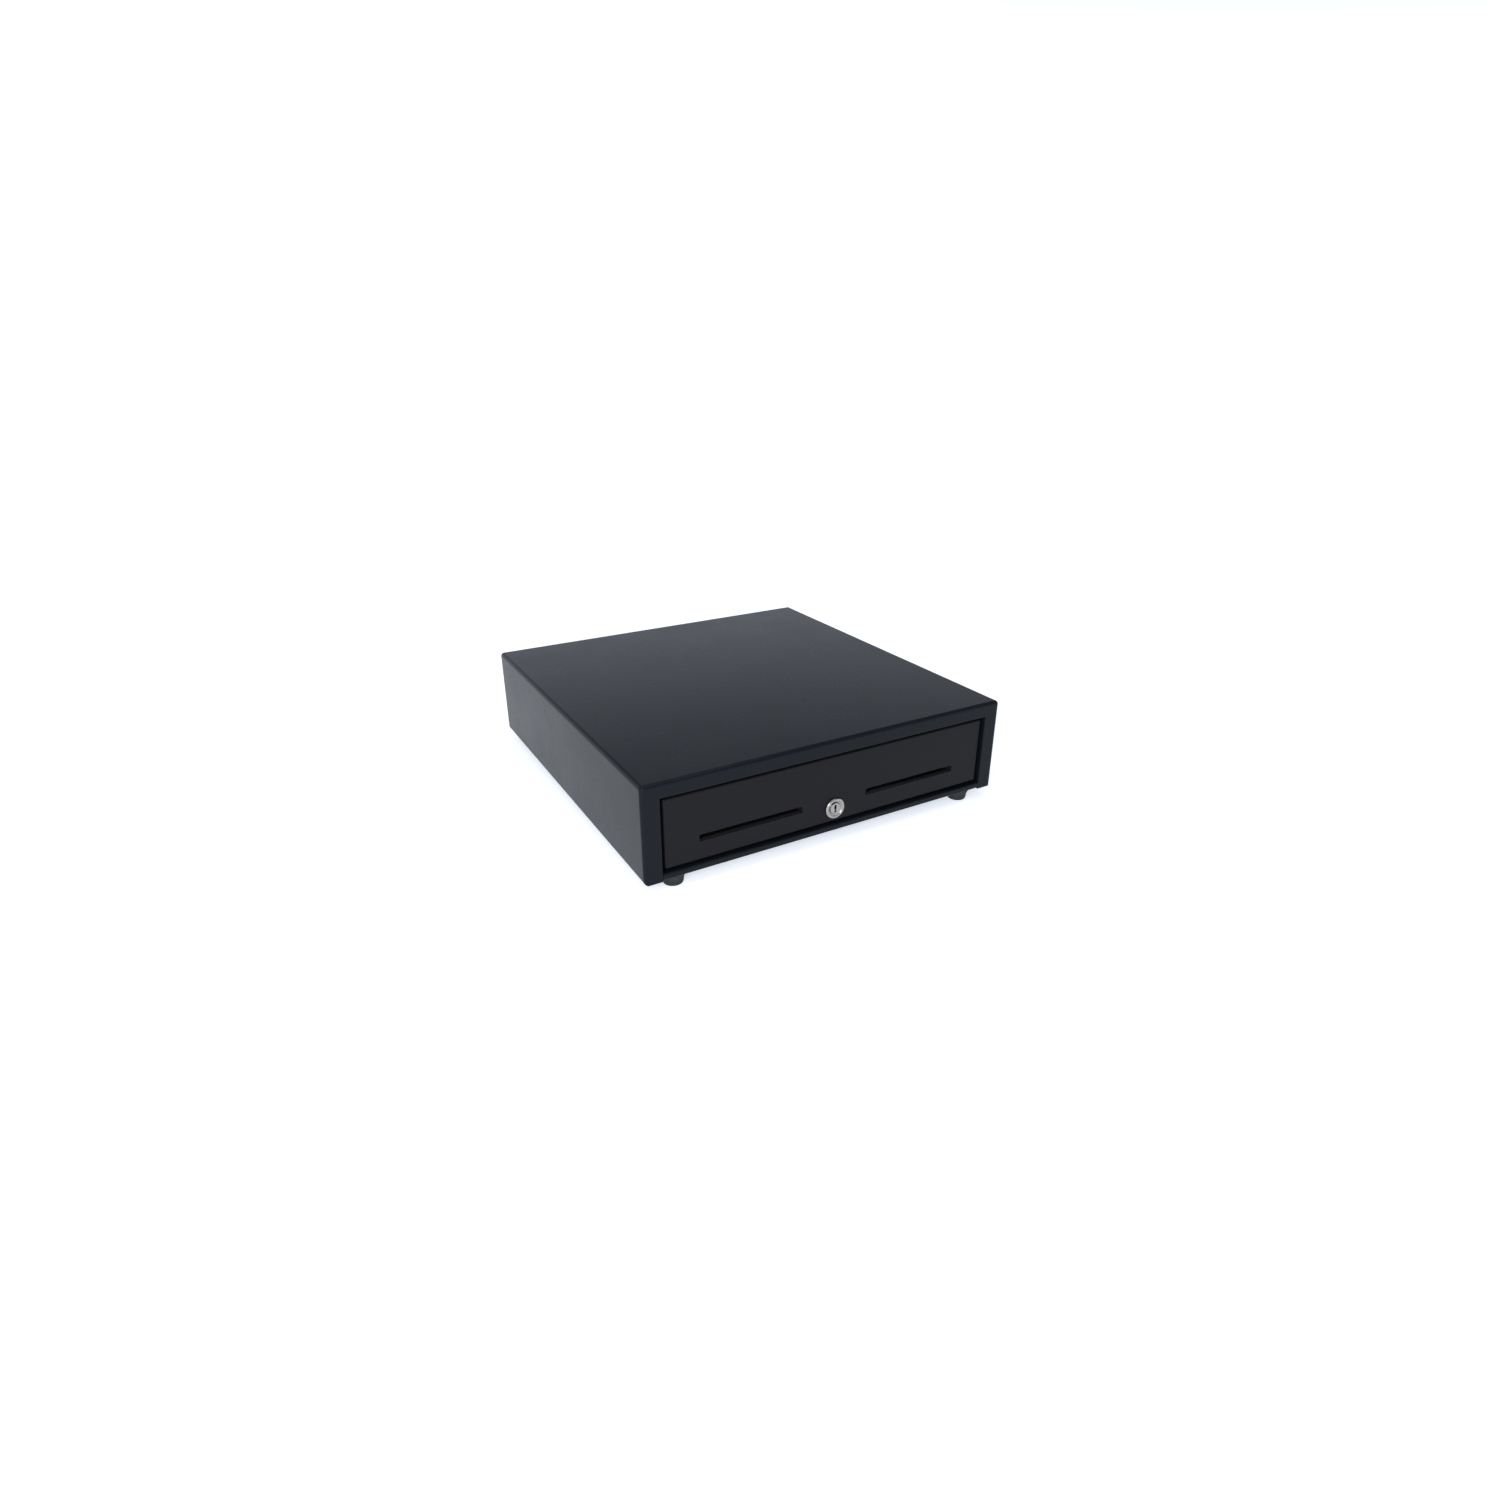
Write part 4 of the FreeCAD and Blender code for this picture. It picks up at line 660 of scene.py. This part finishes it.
# ---------------------------------------------------------------- springs
CLIP_WIRE = 0.46 * MM                # radii of the wires
LATCH_WIRE = 0.4 * MM
CLIP_TURNS = 7
LATCH_TURNS = 25
POST_LOOP = 2.6 * MM                 # radius of the loop round the post
POST_INSET = 3.11 * MM               # the post's middle, in from the spring's rear edge
PEG_LOOP = 2.75 * MM                 # the loop round the hook's peg, wide enough for the peg to swing
PEG_INSET = 2.56 * MM
LOOP_TO_NECK = 5.2 * MM              # from a loop's middle to where its wire meets the spring's line
LOOP_TO_COIL = 8.6 * MM
LOOP_SWEEP = math.radians(275)
LOOP_STEPS = 22


def helix(start, end, radius, turns, steps=26):
    """Points round a straight line from start to end."""
    place = facing(start, end - start)
    length = (end - start).length
    points = []
    for i in range(turns * steps + 1):
        angle = math.tau * i / steps
        height = length * i / (turns * steps)
        points.append(place @ Vector((radius * math.cos(angle), radius * math.sin(angle), height)))
    return points


def add_clip_springs():
    """Torsion springs wound on the rod beside each note clip."""
    mesh = bmesh.new()
    for low, high in solids("clip_springs", 20 * MM):
        middle = (low + high) / 2
        start = Vector((low.x + CLIP_WIRE, middle.y, middle.z))
        end = Vector((high.x - CLIP_WIRE, middle.y, middle.z))
        sweep(mesh, helix(start, end, (high.z - low.z) / 2 - CLIP_WIRE, CLIP_TURNS), CLIP_WIRE)
    finish_piece("clip_springs_wound", mesh, "spring_steel", "drawer", "clip_springs")


def loop(middle, radius, start_angle):
    """Points of a loop of wire in a level plane, open on one side."""
    points = []
    for i in range(LOOP_STEPS + 1):
        angle = start_angle + LOOP_SWEEP * i / LOOP_STEPS
        points.append(middle + Vector((radius * math.cos(angle), radius * math.sin(angle), 0)))
    return points


def add_latch_spring():
    """Close-wound tension spring with a loop at each end."""
    low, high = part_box("latch_spring")
    level = (low.z + high.z) / 2
    post = Vector((high.x - POST_LOOP - LATCH_WIRE, high.y - POST_INSET, level))
    peg = Vector((low.x + PEG_LOOP + LATCH_WIRE, high.y - PEG_INSET, level))
    along = (post - peg).normalized()
    start = peg + along * LOOP_TO_COIL
    end = post - along * LOOP_TO_COIL
    path = loop(peg, PEG_LOOP, math.radians(70)) + [peg + along * LOOP_TO_NECK]
    path += helix(start, end, (high.z - low.z) / 2 - LATCH_WIRE, LATCH_TURNS, steps=18)
    path += [post - along * LOOP_TO_NECK] + loop(post, POST_LOOP, math.radians(195))
    mesh = bmesh.new()
    sweep(mesh, path, LATCH_WIRE, sides=6)
    finish_piece("latch_spring_wound", mesh, "spring_steel", "case", "latch_spring")


# ---------------------------------------------------------------- note clips
HUB_RADIUS = 5.0 * MM
HUB_GROOVES = 3
TIP_RADIUS = 4.0 * MM
TIP_RIBS = 9
ROD_BORE = 2.1 * MM
ARM_STEPS = 24
ARM_WAIST = 1.6 * MM                 # how much narrower each side of the arm is at its middle
ARM_PLATE = 0.8 * MM                 # half the arm's thickness, and half the middle rib's width
ARM_FLANGE = 1.4 * MM                # width of the flanges along its sides


def hub_profile(width):
    """Profile of the hub: a tube round the rod with shallow grooves."""
    profile = [(ROD_BORE, 0), (HUB_RADIUS * 0.9, 0), (HUB_RADIUS, width * 0.03)]
    for i in range(HUB_GROOVES):
        start = 0.22 + 0.22 * i
        profile += [(HUB_RADIUS, width * start), (HUB_RADIUS * 0.93, width * (start + 0.02))]
        profile += [(HUB_RADIUS * 0.93, width * (start + 0.10)), (HUB_RADIUS, width * (start + 0.12))]
    return profile + [(HUB_RADIUS, width * 0.97), (HUB_RADIUS * 0.9, width), (ROD_BORE, width)]


def tip_profile(width):
    """Profile of the tip: a bar with ribs for grip."""
    profile = [(0, 0), (TIP_RADIUS * 0.75, 0), (TIP_RADIUS * 0.95, width * 0.02)]
    for i in range(TIP_RIBS):
        start = 0.04 + 0.92 * i / TIP_RIBS
        profile += [(TIP_RADIUS, width * (start + 0.01)), (TIP_RADIUS, width * (start + 0.06))]
        profile += [(TIP_RADIUS * 0.92, width * (start + 0.075)), (TIP_RADIUS * 0.92, width * (start + 0.09))]
    return profile + [(TIP_RADIUS * 0.95, width * 0.98), (TIP_RADIUS * 0.75, width), (0, width)]


def arm_section(half, flange):
    """Cross-section of the arm: a plate with a flange on each side and a rib in the middle."""
    right = [(half, -ARM_PLATE), (half, flange), (half - ARM_FLANGE, flange)]
    right += [(half - ARM_FLANGE, ARM_PLATE), (ARM_PLATE, ARM_PLATE), (ARM_PLATE, flange * 0.85)]
    return right + [(-x, y) for x, y in reversed(right)]


def add_arm(mesh, hub, tip, half):
    """The arm from the hub to the tip, narrower and with lower flanges in the middle."""
    across = Vector((1, 0, 0))
    up = (tip - hub).cross(across).normalized()
    if up.z < 0:
        up = -up
    rings = []
    for i in range(ARM_STEPS + 1):
        share = i / ARM_STEPS
        bow = math.sin(math.pi * share)
        rise = (1.8 - 0.8 * share) * MM
        flange = (2.4 - 0.2 * share - 0.5 * bow) * MM
        centre = hub.lerp(tip, share) + up * rise
        section = arm_section(half - ARM_WAIST * bow, flange)
        rings.append([centre + across * x + up * y for x, y in section])
    made = loft(mesh, rings)
    mesh.faces.new(made[0])
    mesh.faces.new(made[-1])


def add_note_clip(number):
    """A moulded note clip: a hub on the rod, a ribbed arm and a grooved tip."""
    node = f"note_clip_{number}"
    low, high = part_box(node)
    middle = (low.x + high.x) / 2
    half = (high.x - low.x) / 2
    hub = Vector((middle, high.y - HUB_RADIUS, high.z - HUB_RADIUS))
    tip = Vector((middle, low.y + TIP_RADIUS, low.z + TIP_RADIUS))
    side = Vector((half, 0, 0))
    mesh = bmesh.new()
    lathe(mesh, facing(hub - side, (1, 0, 0)), hub_profile(2 * half), closed=True)
    lathe(mesh, facing(tip - side, (1, 0, 0)), tip_profile(2 * half))
    add_arm(mesh, hub, tip, half)
    finish_piece(f"note_clip_ribbed_{number}", mesh, "clip_plastic", f"clip_{number}", node)


# ---------------------------------------------------------------- coil and socket
CORNER_STEPS = 5
CORE_HALF = 9.5 * MM
CORE_CORNER = 3 * MM                 # radius
CHEEK_CORNER = 2 * MM
CHEEK = 1.2 * MM                     # thickness of the bobbin's cheeks
BORE_SHARE = 0.447                   # the bore's width, of the core's
WINDING_WIRE = 0.29 * MM             # radii of the wires
CONTACT_WIRE = 0.22 * MM
CONTACTS = 6
CONTACT_PITCH = 1.02 * MM
CONTACT_SIDE = scaled([              # a contact from the side, from the socket's rear and lower edges
    (-0.8, 3.35), (-2.5, 3.5), (-6.0, 5.2), (-9.4, 6.9), (-10.4, 7.1), (-11.4, 6.6), (-12.7, 5.4)])


def rounded_square(half, radius):
    """A square outline with rounded corners."""
    points = []
    for quarter in range(4):
        middle_angle = math.radians(45 + 90 * quarter)
        cx = (half - radius) * math.copysign(1, math.cos(middle_angle))
        cy = (half - radius) * math.copysign(1, math.sin(middle_angle))
        for i in range(CORNER_STEPS + 1):
            angle = math.radians(90 * quarter + 90 * i / CORNER_STEPS)
            points.append((cx + radius * math.cos(angle), cy + radius * math.sin(angle)))
    return points


def add_bobbin(place, width, cheek_half):
    """A square spool with a bore for the plunger."""
    core = rounded_square(CORE_HALF, CORE_CORNER)
    cheek = rounded_square(cheek_half, CHEEK_CORNER)
    bore = [(x * BORE_SHARE, y * BORE_SHARE) for x, y in core]
    shape = [(bore, 0), (cheek, 0), (cheek, CHEEK), (core, CHEEK), (core, width - CHEEK)]
    shape += [(cheek, width - CHEEK), (cheek, width), (bore, width)]
    mesh = bmesh.new()
    loft(mesh, [ring(place, line, height) for line, height in shape], closed=True)
    finish_piece("solenoid_bobbin", mesh, "guide_plastic", "case", look=BOBBIN)


def add_winding(place, width):
    """One layer of wire between the cheeks."""
    pitch = 2 * WINDING_WIRE
    line = rounded_square(CORE_HALF + WINDING_WIRE, CORE_CORNER)
    path = []
    for turn in range(int((width - 2 * CHEEK) / pitch) - 1):
        for i, (x, y) in enumerate(line):
            height = CHEEK + WINDING_WIRE + pitch * (turn + i / len(line))
            path.append(place @ Vector((x, y, height)))
    mesh = bmesh.new()
    sweep(mesh, path, WINDING_WIRE, sides=6)
    finish_piece("solenoid_winding", mesh, "coil_winding", "case", "solenoid_coil")


def add_coil():
    """The solenoid's bobbin and the wire wound on it."""
    low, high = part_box("solenoid_coil")
    middle = (low + high) / 2
    place = facing(Vector((low.x, middle.y, middle.z)), (1, 0, 0))
    add_bobbin(place, high.x - low.x, (high.z - low.z) / 2)
    add_winding(place, high.x - low.x)


def add_contacts():
    """Sprung contacts in the socket at the back."""
    low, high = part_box("cable_socket")
    middle = (low.x + high.x) / 2
    mesh = bmesh.new()
    for i in range(CONTACTS):
        x = middle + (i - (CONTACTS - 1) / 2) * CONTACT_PITCH
        sweep(mesh, [Vector((x, high.y + y, low.z + z)) for y, z in CONTACT_SIDE], CONTACT_WIRE)
    finish_piece("socket_contacts", mesh, "screw_steel", "case", look=PLATED_CONTACT)


def add_pieces():
    """Every piece that is made again, or added, with more detail than its CAD node."""
    add_fasteners()
    add_feet()
    add_lock_barrel()
    add_lock_plug()
    add_clip_springs()
    for number in range(1, 5):
        add_note_clip(number)
    add_latch_spring()
    add_coil()
    add_contacts()


# ---------------------------------------------------------------- stage
FLOOR_RADIUS = 30
FLOOR_COLOUR = (0.85, 0.85, 0.86)
FLOOR_TINT = (1.0, 1.045, 1.14)      # colour of the floor's glow
FLOOR_GLOW = 0.55                    # its strength under the object
FLOOR_GLOW_FAR = 0.76                # and away from it
GLOW_RISES = (0.45, 2.2)             # distances from the middle between which it changes
SKY_STRENGTH = 1.36
SKY_SLANT = 0.15                     # how much the right counts as higher up
SKY_SHIFT = 0.045
SKY_STOPS = [                        # from the horizon to overhead
    (0.27, (0.85, 0.90, 1.00, 1)),
    (0.40, (0.265, 0.305, 0.355, 1)),
    (0.66, (0.095, 0.105, 0.12, 1))]
LIGHTS = [                           # name, place, aim, size and watts
    ("overhead", (0.0, -0.2, 2.2), (0, 0, 0.05), (2.2, 2.2), 16),
    ("front_left", (-0.80, -1.05, 0.60), (-0.25, -0.25, 0), (0.7, 0.7), 9)]


def floor_look():
    """White, with a glow that is a little stronger away from the object."""
    look = Look("floor", FLOOR_COLOUR, 0.8, specular=0.1)
    look.set("Emission Color", (*FLOOR_TINT, 1))
    distance = look.node("ShaderNodeVectorMath", operation="LENGTH")
    look.feed(distance.inputs[0], look.place)
    glow = look.between(distance.outputs["Value"], *GLOW_RISES, FLOOR_GLOW, FLOOR_GLOW_FAR)
    look.feed(look.shader.inputs["Emission Strength"], glow)
    return look.material


def add_floor():
    """A plain round floor."""
    mesh = bmesh.new()
    bmesh.ops.create_circle(mesh, cap_ends=True, radius=FLOOR_RADIUS, segments=96)
    data = bpy.data.meshes.new("floor")
    mesh.to_mesh(data)
    mesh.free()
    data.materials.append(floor_look())
    floor = bpy.data.objects.new("floor", data)
    bpy.context.scene.collection.objects.link(floor)


def add_light(name, place, aim, size, power):
    """A soft rectangular light."""
    data = bpy.data.lights.new(name, "AREA")
    data.shape = "RECTANGLE"
    data.size, data.size_y = size
    data.energy = power
    light = bpy.data.objects.new(name, data)
    light.location = place
    light.rotation_mode = "QUATERNION"
    light.rotation_quaternion = (Vector(place) - Vector(aim)).to_track_quat("Z", "Y")
    bpy.context.scene.collection.objects.link(light)


def sky_ramp(tree):
    """The colours of the world, from the horizon up."""
    ramp = add_node(tree, "ShaderNodeValToRGB")
    stops = ramp.color_ramp.elements
    stops[0].position, stops[0].color = SKY_STOPS[0]
    stops[1].position, stops[1].color = SKY_STOPS[-1]
    for position, colour in SKY_STOPS[1:-1]:
        stops.new(position).color = colour
    return ramp


def add_world():
    """White near the horizon, greyer overhead and towards the right, as in a studio lit from the left."""
    world = bpy.data.worlds.new("studio")
    world.use_nodes = True
    tree = world.node_tree
    tree.nodes.clear()
    coordinates = add_node(tree, "ShaderNodeTexCoord")
    slant = add_node(tree, "ShaderNodeVectorMath", operation="DOT_PRODUCT")
    slant.inputs[1].default_value = (SKY_SLANT, 0, 1)
    shift = add_node(tree, "ShaderNodeMath", operation="SUBTRACT")
    shift.inputs[1].default_value = SKY_SHIFT
    ramp = sky_ramp(tree)
    background = add_node(tree, "ShaderNodeBackground")
    background.inputs["Strength"].default_value = SKY_STRENGTH
    output = add_node(tree, "ShaderNodeOutputWorld")
    tree.links.new(coordinates.outputs["Generated"], slant.inputs[0])
    tree.links.new(slant.outputs["Value"], shift.inputs[0])
    tree.links.new(shift.outputs[0], ramp.inputs["Fac"])
    tree.links.new(ramp.outputs["Color"], background.inputs["Color"])
    tree.links.new(background.outputs[0], output.inputs["Surface"])
    bpy.context.scene.world = world


def add_stage():
    """The floor, the world, the lights and how the picture is toned."""
    add_floor()
    add_world()
    for light in LIGHTS:
        add_light(*light)
    bpy.context.scene.view_settings.view_transform = "Standard"


finish_cad_nodes()
add_pieces()
add_stage()
add_camera()
